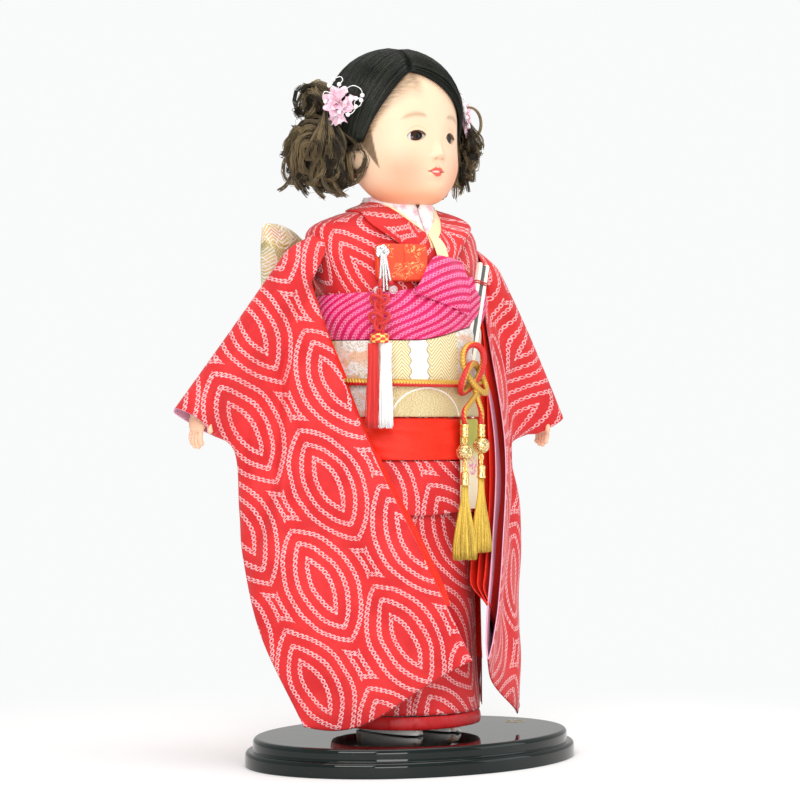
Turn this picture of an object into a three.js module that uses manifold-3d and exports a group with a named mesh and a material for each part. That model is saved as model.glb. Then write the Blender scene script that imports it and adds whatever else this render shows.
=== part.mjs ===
import * as THREE from "three";
import { mergeVertices } from "three/addons/utils/BufferGeometryUtils.js";
import Module from "manifold-3d";

const wasm = await Module();
wasm.setup();

// An ichimatsu doll in a long-sleeved festival kimono, standing on an oval lacquer board. Millimetres.
// The doll faces -Y, its right hand is towards -X, and the middle of the board's underside is the origin.

// Stand
const STAND_LENGTH = 220;
const STAND_DEPTH = 163;
const STAND_FOOT = 9;
const STAND_TIER = 7.5;
const STAND_INSET = 5;
const STAND_ROUND = 2.4;
const STAND_TOP = STAND_FOOT + STAND_TIER;
const MARK_FROM_END = 27;
const MARK_RADIUS = 6.5;
const MARK_DEPTH = 0.5;
const PEG_RADIUS = 2.5;
const PEG_IN_STAND = 10;
const PEG_IN_FOOT = 12;
const PEG_FIT = 0.3;

// How the figure stands on the board, and how close its pieces lie
const FIGURE_BACK = 12;
const TOUCH = 0.3;
const LAYER_GAP = 0.5;
const CORE_GAP = 1.8;

// The dressed body: heights step up from the hem, widths are of the kimono's outside
const HEM_LIFT = 5;
const HEM_ROLL = 8;
const SKIRT_LENGTH = 120;
const HIP_TO_WAIST = 45;
const WAIST_TO_CHEST = 85;
const CHEST_TO_SHOULDER = 37;
const SHOULDER_TO_COLLAR = 17.5;
const COLLAR_TO_NAPE = 12;
const HEM_WIDTH = 94;
const HEM_DEPTH = 82;
const HEM_FORWARD = 6;
const HIP_WIDTH = 93;
const HIP_DEPTH = 83;
const WAIST_WIDTH = 93;
const WAIST_DEPTH = 80;
const CHEST_WIDTH = 106;
const CHEST_DEPTH = 78;
const SHOULDER_WIDTH = 124;
const SHOULDER_DEPTH = 66;
const SHOULDER_BACK = 8;
const COLLAR_WIDTH = 40;
const COLLAR_DEPTH = 40;
const NAPE_WIDTH = 36;
const NAPE_DEPTH = 36;
const NAPE_BACK = 3;
const KIMONO_CLOTH = 1.6;
const UNDER_CLOTH = 1.4;
const WRAP_STEP = 1.4;
const WRAP_EDGE = -0.5;

// Legs and socks
const FOOT_APART = 30;
const FOOT_LENGTH = 58;
const FOOT_WIDTH = 19;
const FOOT_FORWARD = 37;
const ANKLE_BACK = 6;
const SOCK_CLOTH = 1.2;
const SOCK_HEIGHT = 34;
const ANKLE_RADIUS = 9;
const THIGH_RADIUS = 13.5;
const HIP_TENON_RADIUS = 6;
const HIP_TENON_LENGTH = 12;
const SOCKET_FIT = 0.35;

// Arms: a wire eye on a pin in the shoulder, a padded upper arm and a moulded forearm with its hand
const SHOULDER_X = 48;
const SHOULDER_PIN_RADIUS = 2.7;
const SHOULDER_PIN_LENGTH = 22;
const SHOULDER_SLOT = 8;
const SHOULDER_SLOT_TALL = 50;
const ARM_WIRE_RADIUS = 1.4;
const ARM_EYE_FIT = 0.5;
const ARM_REACH = 86;
const ARM_DROP = 102;
const ARM_BACK = 11;
const UPPER_ARM_RADIUS = 10;
const FOREARM_RADIUS = 6.4;
const WRIST_RADIUS = 4.8;
const FINGER_RADIUS = 1.6;
const FINGER_LENGTH = 11;
const ARMHOLE_WIDTH = 28;
const ARMHOLE_HEIGHT = 48;

// Sleeves: long flat bags that hang from the arms and swing forward to meet in front
const SLEEVE_CLEAR = 4;
const SLEEVE_BAG = 7;
const SLEEVE_TUNNEL = 10.9;
const SLEEVE_WALL = 1.8;
const SLEEVE_LENGTH = 258;
const SEAM_RISE = 5;
const SLEEVE_MEET = 6;
const SLEEVE_SWING = 74;
const CUFF_REACH = 16;
const CUFF_OPENING = 26;
const SLEEVE_SAG = 12;
const SLEEVE_FOLD = 5;
const INNER_SLEEVE_CLOTH = 2.6;
const INNER_SLEEVE_SHOWS = 0.02;

// Sash, obi, scarf and cord round the waist, counted upward
const TUCK_HEIGHT = 32.5;
const TUCK_CLOTH = 1.8;
const SASH_HEIGHT = 25.5;
const SASH_CLOTH = 3.6;
const SASH_TAIL_CLEAR = 11.5;
const SASH_TAIL_WIDTH = 20;
const SASH_TAIL_CLOTH = 2.2;
const OBI_HEIGHT = 45.5;
const OBI_CLOTH = 5;
const SCARF_RIGHT = 29;
const SCARF_LEFT = 40;
const SCARF_CLOTH = 6;
const SCARF_FOLD_CLOTH = 2.4;
const FOLD_TIP_ANGLE = 0.38;
const FOLD_TIP = 27;
const FOLD_LOW = 15;
const FOLD_PEAK = 54;
const FOLD_SETTLE = 2.5;
const FOLD_OVER_WALLET = 3.6;
const CORD_RADIUS = 2.3;
const KNOT_LOBE = 4.6;
const KNOT_HALF_DEPTH = 2.7;
const KNOT_ANGLE = 0.32;

// Collars: outer collar, thin accent collar, flowered under-collar
const COLLAR_FRONT_DROP = 24;
const COLLAR_NAPE_RISE = 2;
const COLLAR_SIDE_DROP = 2.5;
const COLLAR_BAND = 12;
const ACCENT_BAND = 2.2;
const UNDER_BAND = 5.2;
const COLLAR_CLOTH = 1.5;
const COLLAR_LAP = 3;

// Head and hair
const NECK_RADIUS = 12.5;
const NECK_PEG_RADIUS = 5;
const NECK_PEG_LENGTH = 24;
const HEAD_WIDTH = 76;
const HEAD_FRONT = 38.5;
const HEAD_REAR = 40;
const HEAD_CROWN = 42.5;
const HEAD_JAW = 50;
const HEAD_RISE = 51.6;
const HEAD_BACK = 2;
const HEAD_NAPE = 37;
const NOSE = 4.6;
const LIPS = 1.4;
const CHIN = 1.6;
const CHEEKS = 1.2;
const SOCKETS = 1.4;
const EYE_APART = 25.6;
const EYE_DROP = 9.5;
const EYE_RADIUS = 6.2;
const EYE_SHOWS = 1;
const HAIR_THICK = 2.8;
const PART_ANGLE = -0.4;
const BUNCH_LENGTH = 64;
const BUNCH_OUT = 49;
const BUNCH_BACK = 11;
const BUNCH_WIDTH = 33;
const BUNCH_DEPTH = 52;
const BUNCH_CURLS = 5;
const FLOWER_RADIUS = 8;
const BEAD_RADIUS = 1.5;

// Things tucked in or hung at the front
const FAN_LENGTH = 68;
const FAN_WIDTH = 8;
const FAN_THICK = 3;
const FAN_ANGLE = 0.45;
const FAN_LEAN_RISE = 48;
const FAN_LEAN_OUT = 8;
const FAN_TUCK = 16;
const WALLET_WIDTH = 31;
const WALLET_HEIGHT = 22;
const WALLET_THICK = 6;
const WALLET_ANGLE = -0.42;
const CHARM_ANGLE = -0.74;
const SILVER_HALF = 1.2;
const SILVER_DROP = 24;
const TASSEL_LENGTH = 50;
const TASSEL_WIDTH = 8.6;
const TASSEL_THICK = 5;
const TASSEL_APART = 9.4;
const GOLD_BALL_RADIUS = 4.7;
const GOLD_TASSEL_LENGTH = 44;
const GOLD_TASSEL_WIDTH = 12;
const RIGHT_CHARM_ANGLE = 0.05;
const LEFT_CHARM_ANGLE = 0.29;
const TAG_WIDTH = 21;
const TAG_HEIGHT = 54;
const TAG_THICK = 1.2;
const TAG_ANGLE = 0.36;

// Bow of the obi at the back
const BOW_WING = 50;
const BOW_HEIGHT = 56;
const BOW_PUFF = 18;
const BOW_KNOT_WIDTH = 22;
const BOW_TAIL_WIDTH = 46;
const BOW_TAIL_LENGTH = 112;
const BOW_TAIL_CLOTH = 3;

// Facets
const RING = 16;
const CORE_RING = 8;
const STAND_SIDES = 32;

// Solids from points and faces

const vec = (x, y, z) => new THREE.Vector3(x, y, z);
const mix = THREE.MathUtils.lerp;
const smooth = THREE.MathUtils.smoothstep;
const steps = (count) => Array.from({ length: count + 1 }, (_, i) => i / count);
const around = (count) => Array.from({ length: count }, (_, i) => (2 * Math.PI * i) / count);

// The geometry with shared corners, no collapsed faces, and its faces turned outward.
function welded(geometry) {
  const bare = geometry.clone();
  bare.deleteAttribute("normal");
  bare.deleteAttribute("uv");
  const merged = mergeVertices(bare, 1e-4);
  const faces = [];
  const index = merged.index.array;
  for (let i = 0; i < index.length; i += 3) {
    const [a, b, c] = [index[i], index[i + 1], index[i + 2]];
    if (a !== b && b !== c && c !== a) faces.push(a, b, c);
  }
  const p = merged.attributes.position;
  const corner = (i) => vec().fromBufferAttribute(p, i);
  let volume = 0;
  for (let i = 0; i < faces.length; i += 3) {
    volume += corner(faces[i]).dot(corner(faces[i + 1]).cross(corner(faces[i + 2])));
  }
  merged.setIndex(volume < 0 ? faces.reverse() : faces);
  return merged;
}

function fromFaces(points, faces) {
  const geometry = new THREE.BufferGeometry().setFromPoints(points);
  geometry.setIndex(faces);
  return welded(geometry);
}

// Quads between two equal closed rings of corners, given by their first corners.
function bridge(faces, a, b, count) {
  for (let j = 0; j < count; j++) {
    const k = (j + 1) % count;
    faces.push(a + j, a + k, b + k, a + j, b + k, b + j);
  }
}

// A closed solid through a row of equal rings, with a fan over each end.
function loft(rings) {
  const n = rings[0].length;
  const points = rings.flat();
  const faces = [];
  for (let i = 0; i + 1 < rings.length; i++) bridge(faces, i * n, (i + 1) * n, n);
  const last = (rings.length - 1) * n;
  for (const [start, flip] of [[0, true], [last, false]]) {
    const middle = vec(0, 0, 0);
    for (let j = 0; j < n; j++) middle.addScaledVector(points[start + j], 1 / n);
    const centre = points.push(middle) - 1;
    for (let j = 0; j < n; j++) {
      const k = start + ((j + 1) % n);
      faces.push(centre, flip ? k : start + j, flip ? start + j : k);
    }
  }
  return fromFaces(points, faces);
}

// An open sleeve of cloth between outer and inner rows of rings.
function wall(outer, inner) {
  const n = outer[0].length;
  const rows = outer.length;
  const loop = [...outer, ...inner.slice().reverse()];
  const faces = [];
  for (let i = 0; i < 2 * rows; i++) bridge(faces, i * n, ((i + 1) % (2 * rows)) * n, n);
  return fromFaces(loop.flat(), faces);
}

// A cloth slab: the surface at(u, v) thickened evenly on both sides.
function slab(at, us, vs, thickness) {
  const e = 1e-3;
  const face = (side) => (u) => (v) => {
    const along = at(u + e, v).sub(at(u - e, v));
    const across = at(u, v + e).sub(at(u, v - e));
    const normal = along.cross(across).normalize();
    return at(u, v).addScaledVector(normal, (side * thickness) / 2);
  };
  const front = us.map((u) => vs.map(face(1)(u)));
  const rear = us.map((u) => vs.map(face(-1)(u)));
  return loftStrips(us.map((_, i) => [...front[i], ...rear[i].slice().reverse()]), vs.length);
}

// A loft whose rings are a front row followed by a rear row, with its ends closed strip by strip.
function loftStrips(rings, half) {
  const n = rings[0].length;
  const faces = [];
  for (let i = 0; i + 1 < rings.length; i++) bridge(faces, i * n, (i + 1) * n, n);
  const last = (rings.length - 1) * n;
  for (let j = 0; j + 1 < half; j++) {
    const [a, b, c, d] = [j, j + 1, n - 2 - j, n - 1 - j];
    faces.push(b, a, d, b, d, c);
    faces.push(last + a, last + b, last + c, last + a, last + c, last + d);
  }
  return fromFaces(rings.flat(), faces);
}

const curve = (...points) => new THREE.CatmullRomCurve3(points);

// A closed round rod along a path.
function rod(path, radius, count, sides = 6) {
  const disc = new THREE.Shape(around(sides).map((a) => {
    return new THREE.Vector2(radius * Math.cos(a), radius * Math.sin(a));
  }));
  const options = { steps: count, bevelEnabled: false, extrudePath: path };
  return welded(new THREE.ExtrudeGeometry(disc, options));
}

const line = (a, b) => new THREE.LineCurve3(a, b);
const ball = (at, r, sides = 8) =>
  welded(new THREE.SphereGeometry(r, sides, sides / 2 + 1).translate(at.x, at.y, at.z));
const box = (x, y, z) => welded(new THREE.BoxGeometry(x, y, z));

function solid(geometry) {
  return new wasm.Manifold(new wasm.Mesh({
    numProp: 3,
    vertProperties: new Float32Array(geometry.attributes.position.array),
    triVerts: new Uint32Array(geometry.index.array),
  }));
}

function geometryOf(made) {
  const mesh = made.getMesh();
  const geometry = new THREE.BufferGeometry();
  geometry.setAttribute("position", new THREE.BufferAttribute(mesh.vertProperties, 3));
  geometry.setIndex(new THREE.BufferAttribute(mesh.triVerts, 1));
  return welded(geometry);
}

const joined = (...pieces) => geometryOf(pieces.map(solid).reduce((a, b) => a.add(b)));
const cut = (piece, ...holes) =>
  geometryOf(holes.map(solid).reduce((a, b) => a.subtract(b), solid(piece)));
const mirrored = (geometry) => welded(geometry.clone().scale(-1, 1, 1));

// The dressed body as a stack of ovals

const HEM_TOP = HEM_LIFT + HEM_ROLL;
const HIP = HEM_TOP + SKIRT_LENGTH;
const WAIST = HIP + HIP_TO_WAIST;
const CHEST = WAIST + WAIST_TO_CHEST;
const SHOULDER = CHEST + CHEST_TO_SHOULDER;
const COLLAR = SHOULDER + SHOULDER_TO_COLLAR;
const NAPE = COLLAR + COLLAR_TO_NAPE;

const oval = (z, width, depth, back) => ({ z, wide: width / 2, deep: depth / 2, back });
const blend = (a, b, t, width = 0, depth = 0) =>
  oval(mix(a.z, b.z, t), 2 * mix(a.wide, b.wide, t) + width, 2 * mix(a.deep, b.deep, t) + depth,
    mix(a.back, b.back, t));
const HEM_OVAL = oval(HEM_LIFT, HEM_WIDTH, HEM_DEPTH, -HEM_FORWARD);
const HIP_OVAL = oval(HIP, HIP_WIDTH, HIP_DEPTH, 0);
const WAIST_OVAL = oval(WAIST, WAIST_WIDTH, WAIST_DEPTH, 0);
const CHEST_OVAL = oval(CHEST, CHEST_WIDTH, CHEST_DEPTH, SHOULDER_BACK / 4);
const SHOULDER_OVAL = oval(SHOULDER, SHOULDER_WIDTH, SHOULDER_DEPTH, SHOULDER_BACK);
const COLLAR_OVAL = oval(COLLAR, COLLAR_WIDTH, COLLAR_DEPTH, NAPE_BACK);
const NAPE_OVAL = oval(NAPE, NAPE_WIDTH, NAPE_DEPTH, NAPE_BACK);
const BODY = [
  HEM_OVAL,
  blend(HEM_OVAL, HIP_OVAL, 0.35, -3, -2),
  blend(HEM_OVAL, HIP_OVAL, 0.7, -2, -1),
  HIP_OVAL,
  WAIST_OVAL,
  blend(WAIST_OVAL, CHEST_OVAL, 0.6, -4, 0),
  CHEST_OVAL,
  blend(CHEST_OVAL, SHOULDER_OVAL, 0.6, 6, 1),
  SHOULDER_OVAL,
  blend(SHOULDER_OVAL, COLLAR_OVAL, 0.35, 8, 0),
  blend(SHOULDER_OVAL, COLLAR_OVAL, 0.7, 1, -1),
  COLLAR_OVAL,
  NAPE_OVAL,
];

function bodyAt(z) {
  const i = Math.min(Math.max(BODY.findIndex((o) => o.z > z), 1), BODY.length - 1);
  const above = z >= NAPE_OVAL.z ? BODY.length - 1 : i;
  const [a, b] = [BODY[above - 1], BODY[above]];
  return blend(a, b, (z - a.z) / (b.z - a.z));
}

// A point on the body: the angle is 0 in front and grows towards the doll's left.
function onBody(angle, z, grow) {
  const o = bodyAt(z);
  return vec((o.wide + grow) * Math.sin(angle), o.back - (o.deep + grow) * Math.cos(angle), z);
}

const outward = (angle) => vec(Math.sin(angle), -Math.cos(angle), 0);
const sideways = (angle) => vec(Math.cos(angle), Math.sin(angle), 0);
const levels = (low, high) => [low, ...BODY.map((o) => o.z).filter((z) => z > low && z < high), high];
const ovalRing = (z, grow, sides = RING) => around(sides).map((a) => onBody(a, z, grow));

// A layer of cloth round the body between two heights and two distances from the kimono's outside.
function layer(low, high, inside, outside, sides = RING) {
  const zs = levels(low, high);
  return wall(zs.map((z) => ovalRing(z, outside, sides)), zs.map((z) => ovalRing(z, inside, sides)));
}

const UNDER_OUT = -KIMONO_CLOTH - LAYER_GAP;
const UNDER_IN = UNDER_OUT - UNDER_CLOTH;
const CORE_OUT = UNDER_IN - CORE_GAP;

// The group and its finishes

const doll = new THREE.Group();
const figure = new THREE.Group();
figure.position.set(0, FIGURE_BACK, STAND_TOP);
doll.add(figure);

const finish = (color, roughness, metalness = 0) =>
  new THREE.MeshStandardMaterial({ color, roughness, metalness });
const LACQUER = finish(0x0a0f0d, 0.08);
const WOOD = finish(0xc9a878, 0.7);
const SKIN = finish(0xf2cdb8, 0.45);
const STEEL = finish(0x8a8a86, 0.35, 1);
const COTTON = finish(0xeee8dc, 0.95);
const WHITE_CLOTH = finish(0xf6f4f0, 0.85);
const KIMONO = finish(0xd9343c, 0.85);
const SCARLET = finish(0xe62012, 0.7);
const BROCADE = finish(0xc9b079, 0.5, 0.2);
const PINK_SCARF = finish(0xd81b78, 0.8);
const CREAM_CLOTH = finish(0xf0dfa2, 0.7);
const GOLD = finish(0xd9a93a, 0.3, 1);
const GOLD_THREAD = finish(0xb98d1d, 0.6, 0.3);
const SILVER = finish(0xd6d6d2, 0.25, 1);
const BLACK_HAIR = finish(0x0b0d0c, 0.4);
const BROWN_HAIR = finish(0x2c211b, 0.5);
const GLASS_EYE = finish(0x1a0f0a, 0.05);
const PINK_FLOWER = finish(0xf2b4c6, 0.8);
const PAPER = finish(0xe9dfb4, 0.6);
const FAN_LACQUER = finish(0x15110f, 0.3);

function add(group, name, geometry, material) {
  const mesh = new THREE.Mesh(geometry, material);
  mesh.name = name;
  group.add(mesh);
}

const pair = (group, name, geometry, material) => {
  add(group, `right_${name}`, geometry, material);
  add(group, `left_${name}`, mirrored(geometry), material);
};

// Stand: a two-tier oval turned from one profile, with a peg for each foot

function roundedCorner(r, z, radius) {
  return steps(2).map((t) => {
    const a = (t * Math.PI) / 2;
    return new THREE.Vector2(r - radius + radius * Math.cos(a), z - radius + radius * Math.sin(a));
  });
}

const upright = (radius, low, high, x, y, sides = 12) =>
  welded(new THREE.CylinderGeometry(radius, radius, high - low, sides)
    .rotateX(Math.PI / 2)
    .translate(x, y, (low + high) / 2));

const PEG_Y = 8 - FOOT_FORWARD / 2;
const tierRadius = STAND_LENGTH / 2 - STAND_INSET;
const standProfile = [
  new THREE.Vector2(0, 0),
  new THREE.Vector2(STAND_LENGTH / 2, 0),
  ...roundedCorner(STAND_LENGTH / 2, STAND_FOOT, STAND_ROUND),
  new THREE.Vector2(tierRadius, STAND_FOOT),
  ...roundedCorner(tierRadius, STAND_TOP, STAND_ROUND),
  new THREE.Vector2(0, STAND_TOP),
];
const standBlank = welded(new THREE.LatheGeometry(standProfile, STAND_SIDES)
  .rotateX(Math.PI / 2)
  .scale(1, STAND_DEPTH / STAND_LENGTH, 1));
const pegHole = (x) =>
  upright(PEG_RADIUS + PEG_FIT, STAND_TOP - PEG_IN_STAND - PEG_FIT, STAND_TOP + 1, x, FIGURE_BACK + PEG_Y);
const markRing = cut(
  upright(MARK_RADIUS, STAND_TOP - MARK_DEPTH, STAND_TOP + 1, STAND_LENGTH / 2 - MARK_FROM_END, 0, 20),
  upright(MARK_RADIUS * 0.8, 0, STAND_TOP + 2, STAND_LENGTH / 2 - MARK_FROM_END, 0, 20),
);
add(doll, "stand", cut(standBlank, pegHole(-FOOT_APART / 2), pegHole(FOOT_APART / 2), markRing), LACQUER);
pair(figure, "stand_peg", upright(PEG_RADIUS, -PEG_IN_STAND, PEG_IN_FOOT, -FOOT_APART / 2, PEG_Y), WOOD);

// Legs and split-toed socks: a foot is a row of flat-soled arches from heel to toe

function footBlank(shrink) {
  const heel = FOOT_LENGTH - FOOT_FORWARD - shrink;
  const toe = -FOOT_FORWARD + shrink;
  const shape = [[0, 0.5, 14], [0.1, 0.82, 20], [0.34, 0.9, 19], [0.75, 0.98, 12], [1, 0.5, 6]];
  return loft(shape.map(([t, w, h]) => {
    const half = (w * FOOT_WIDTH) / 2 - shrink;
    return around(10).map((a) => {
      const up = Math.max(Math.sin(a), 0) * (h - 2 * shrink);
      return vec(half * Math.cos(a) - FOOT_APART / 2, mix(heel, toe, t), TOUCH + shrink + up);
    });
  }));
}

const ankleRing = (radius, z) => around(10).map((a) => {
  return vec(radius * Math.cos(a) - FOOT_APART / 2, ANKLE_BACK + radius * Math.sin(a), z);
});
const ankle = (radius, low, high) => loft([ankleRing(radius, low), ankleRing(radius, high)]);
const SHOE_GAP = SOCK_CLOTH + TOUCH;
const footPegHole = upright(PEG_RADIUS + PEG_FIT, -1, PEG_IN_FOOT + PEG_FIT, -FOOT_APART / 2, PEG_Y);
const sockBlank = joined(footBlank(0), ankle(ANKLE_RADIUS + SHOE_GAP, 8, SOCK_HEIGHT));
const sockHollow = joined(footBlank(SOCK_CLOTH), ankle(ANKLE_RADIUS + TOUCH, 7, SOCK_HEIGHT + 9));
pair(figure, "tabi", cut(sockBlank, sockHollow, footPegHole), WHITE_CLOTH);

const LEG_TOP = HIP - TOUCH;
const KNEE = mix(SOCK_HEIGHT, LEG_TOP, 0.4);
const KNEE_RADIUS = mix(ANKLE_RADIUS, THIGH_RADIUS, 0.7);
const legRing = (z, r, y) => around(10).map((a) => {
  return vec(r * Math.cos(a) - FOOT_APART / 2 - (r - ANKLE_RADIUS) * 0.3, y + r * Math.sin(a), z);
});
const shank = loft([
  legRing(9, ANKLE_RADIUS, ANKLE_BACK),
  legRing(SOCK_HEIGHT, ANKLE_RADIUS, ANKLE_BACK),
  legRing(KNEE, KNEE_RADIUS, ANKLE_BACK / 2),
  legRing(LEG_TOP, THIGH_RADIUS, 0),
]);
const tenon = (fit) =>
  upright(HIP_TENON_RADIUS + fit, LEG_TOP - 1, LEG_TOP + HIP_TENON_LENGTH + fit, -FOOT_APART / 2, 0, 10);
const leg = cut(joined(footBlank(SHOE_GAP), shank, tenon(0)), footPegHole);
pair(figure, "leg", leg, SKIN);

// Body core, with a slot and a pin for each arm, and the wadding that fills out the skirt

const ARM_PIVOT = vec(-SHOULDER_X, SHOULDER_BACK, SHOULDER - 3.5);
const CORE_TOP = mix(SHOULDER, COLLAR, 0.86);
const coreLevels = levels(HIP, CORE_TOP);
const shoulderPin = (fit) =>
  welded(new THREE.CylinderGeometry(SHOULDER_PIN_RADIUS + fit, SHOULDER_PIN_RADIUS + fit,
    SHOULDER_PIN_LENGTH + 2 * fit, 12).translate(ARM_PIVOT.x, ARM_PIVOT.y, ARM_PIVOT.z));
const armSlot = box(SHOULDER_WIDTH / 4, SHOULDER_SLOT, SHOULDER_SLOT_TALL)
  .translate(ARM_PIVOT.x - SHOULDER_WIDTH / 8 + 9, ARM_PIVOT.y, ARM_PIVOT.z + 11);
const neckSocket = upright(NECK_PEG_RADIUS + SOCKET_FIT, CORE_TOP - NECK_PEG_LENGTH - SOCKET_FIT,
  CORE_TOP + 1, 0, NAPE_BACK, 12);
const core = loft(coreLevels.map((z) => ovalRing(z, CORE_OUT, CORE_RING)));
const pinHole = shoulderPin(TOUCH / 2);
add(figure, "body_core", cut(core, neckSocket, tenon(SOCKET_FIT), mirrored(tenon(SOCKET_FIT)),
  armSlot, mirrored(armSlot), pinHole, mirrored(pinHole)), WOOD);
pair(figure, "shoulder_pin", shoulderPin(0), STEEL);

const LEG_ROOM = 0.6;
const legRoom = loft([
  legRing(0, ANKLE_RADIUS + SHOE_GAP + LEG_ROOM, ANKLE_BACK),
  legRing(SOCK_HEIGHT + 1, ANKLE_RADIUS + SHOE_GAP + LEG_ROOM, ANKLE_BACK),
  legRing(KNEE, KNEE_RADIUS + LEG_ROOM + 0.5, ANKLE_BACK / 2),
  legRing(HIP + 2, THIGH_RADIUS + LEG_ROOM, 0),
]);
const WADDING_LOW = SOCK_HEIGHT + 2;
const wadding = loft(levels(WADDING_LOW, HIP - TOUCH).map((z) => ovalRing(z, CORE_OUT, CORE_RING)));
add(figure, "hip_wadding", cut(wadding, legRoom, mirrored(legRoom)), COTTON);

// Kimono over an under-kimono, with an armhole at each shoulder and the left front lapped over the right

const armhole = welded(new THREE.CylinderGeometry(1, 1, SHOULDER_WIDTH / 2, 10)
  .rotateZ(Math.PI / 2)
  .scale(1, ARMHOLE_WIDTH / 2, ARMHOLE_HEIGHT / 2)
  .translate(ARM_PIVOT.x - SHOULDER_WIDTH / 4 + 3, ARM_PIVOT.y, ARM_PIVOT.z - 4));
const armholes = [armhole, mirrored(armhole)];
const NECK_TILT = 0.48;
const NECK_DIP = 21.5;
const NECK_ROOM = 60;
const neckOpening = box(COLLAR_WIDTH, 2 * COLLAR_DEPTH, NECK_ROOM)
  .translate(0, 0, NECK_ROOM / 2)
  .rotateX(NECK_TILT)
  .translate(0, -COLLAR_DEPTH / 2, COLLAR - NECK_DIP);
const wrapStep = (angle) => {
  const turn = (angle - WRAP_EDGE + 2 * Math.PI) % (2 * Math.PI);
  return WRAP_STEP * (1 - smooth(turn, 0.12, 2.4)) * smooth(turn, 0, 0.12);
};
const wrapRing = (z) => around(RING).map((a) => {
  return onBody(a, z, wrapStep(a) * (1 - smooth(z, HIP * 0.7, HIP * 0.95)));
});
const kimonoLevels = levels(HEM_TOP + TOUCH, COLLAR);
const kimonoCloth = wall(kimonoLevels.map(wrapRing), kimonoLevels.map((z) => ovalRing(z, -KIMONO_CLOTH)));
add(figure, "kimono", cut(kimonoCloth, ...armholes, neckOpening), KIMONO);
const underCloth = layer(HEM_TOP + 4, COLLAR, UNDER_IN, UNDER_OUT, CORE_RING);
add(figure, "under_kimono", cut(underCloth, ...armholes, neckOpening), SCARLET);

const hemRow = (z, grow) => around(RING).map((a) => onBody(a, z, grow + wrapStep(a) * 0.6));
const HEM_SIDES = [[0, -0.4], [0.3, 0.7], [0.7, 0.8], [1, 0]];
const hemAt = (t) => mix(HEM_LIFT, HEM_TOP, t);
add(figure, "hem_roll", wall(HEM_SIDES.map(([t, out]) => hemRow(hemAt(t), out)),
  HEM_SIDES.map(([t]) => ovalRing(hemAt(t), -KIMONO_CLOTH))), SCARLET);

// Tuck, sash and obi, stacked up the waist

const TUCK_LOW = HIP - 2;
const SASH_LOW = TUCK_LOW + TUCK_HEIGHT + TOUCH;
const OBI_LOW = SASH_LOW + SASH_HEIGHT + TOUCH;
const OBI_TOP = OBI_LOW + OBI_HEIGHT;
const TUCK_IN = WRAP_STEP + LAYER_GAP;
const TUCK_OUT = TUCK_IN + TUCK_CLOTH;
const SASH_OUT = LAYER_GAP + SASH_CLOTH;
const OBI_OUT = LAYER_GAP + OBI_CLOTH;
add(figure, "waist_tuck", layer(TUCK_LOW, SASH_LOW - TOUCH, TUCK_IN, TUCK_OUT), KIMONO);
const sashRow = (t) => ovalRing(mix(SASH_LOW, OBI_LOW - TOUCH, t), SASH_OUT - 1.2 * (2 * t - 1) ** 2);
const sashInner = (t) => ovalRing(mix(SASH_LOW, OBI_LOW - TOUCH, t), LAYER_GAP);
add(figure, "sash", wall(steps(4).map(sashRow), steps(4).map(sashInner)), SCARLET);

const TAIL_ANGLE = 1.5;
const tailTop = SASH_LOW - TOUCH;
const tailAt = (u, v) => {
  const z = mix(tailTop, SASH_TAIL_CLEAR, u);
  const ripple = 0.8 * Math.sin(3 * Math.PI * v + 2 * u);
  const stand = TUCK_OUT + LAYER_GAP + SASH_TAIL_CLOTH / 2 + 0.7;
  const across = (v - 0.5) * SASH_TAIL_WIDTH;
  return onBody(TAIL_ANGLE, z, stand + ripple).addScaledVector(sideways(TAIL_ANGLE), across);
};
add(figure, "sash_tail", slab(tailAt, steps(8), steps(6), SASH_TAIL_CLOTH), SCARLET);

// Folding fan: closed sticks tucked into a pocket of the obi, leaning out over the scarf

const FAN_FOOT = onBody(FAN_ANGLE, OBI_TOP - FAN_TUCK, LAYER_GAP + OBI_CLOTH / 2);
const FAN_LEAN = onBody(FAN_ANGLE + 0.1, OBI_TOP + FAN_LEAN_RISE, SCARF_CLOTH + FAN_LEAN_OUT);
const fanAxis = FAN_LEAN.clone().sub(FAN_FOOT).normalize();
const fanGroup = new THREE.Group();
fanGroup.position.copy(FAN_FOOT);
const fanSide = sideways(FAN_ANGLE);
const fanOut = fanSide.clone().cross(fanAxis).normalize();
fanSide.copy(fanAxis.clone().cross(fanOut)).normalize();
fanGroup.quaternion.setFromRotationMatrix(new THREE.Matrix4().makeBasis(fanSide, fanOut, fanAxis));
figure.add(fanGroup);
const fanPlate = (x, thick, length, width) => box(thick, width, length).translate(x, 0, length / 2);
const FAN_PLATES = 5;
const plateThick = FAN_WIDTH / FAN_PLATES;
const fanPlates = steps(FAN_PLATES - 1).map((t) => {
  const ends = 2 * Math.abs(t - 0.5);
  const plate = fanPlate((t - 0.5) * (FAN_WIDTH - plateThick), plateThick + 0.02, FAN_LENGTH - (1 - ends) * 1.5,
    FAN_THICK - (1 - ends) * 0.5);
  return plate;
});
add(fanGroup, "fan", joined(...fanPlates), FAN_LACQUER);
const FAN_ROOM = 0.4;
const fanPocket = fanPlate(0, FAN_WIDTH + 2 * FAN_ROOM, FAN_LENGTH + 20, FAN_THICK + 2 * FAN_ROOM)
  .translate(0, 0, -FAN_ROOM);
fanGroup.updateMatrix();
fanPocket.applyMatrix4(fanGroup.matrix);
add(figure, "obi", cut(layer(OBI_LOW, OBI_TOP, LAYER_GAP, OBI_OUT), fanPocket), BROCADE);

// Scarf above the obi: a puffed band in diagonal pleats, higher on the doll's left, with its end folded over

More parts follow.
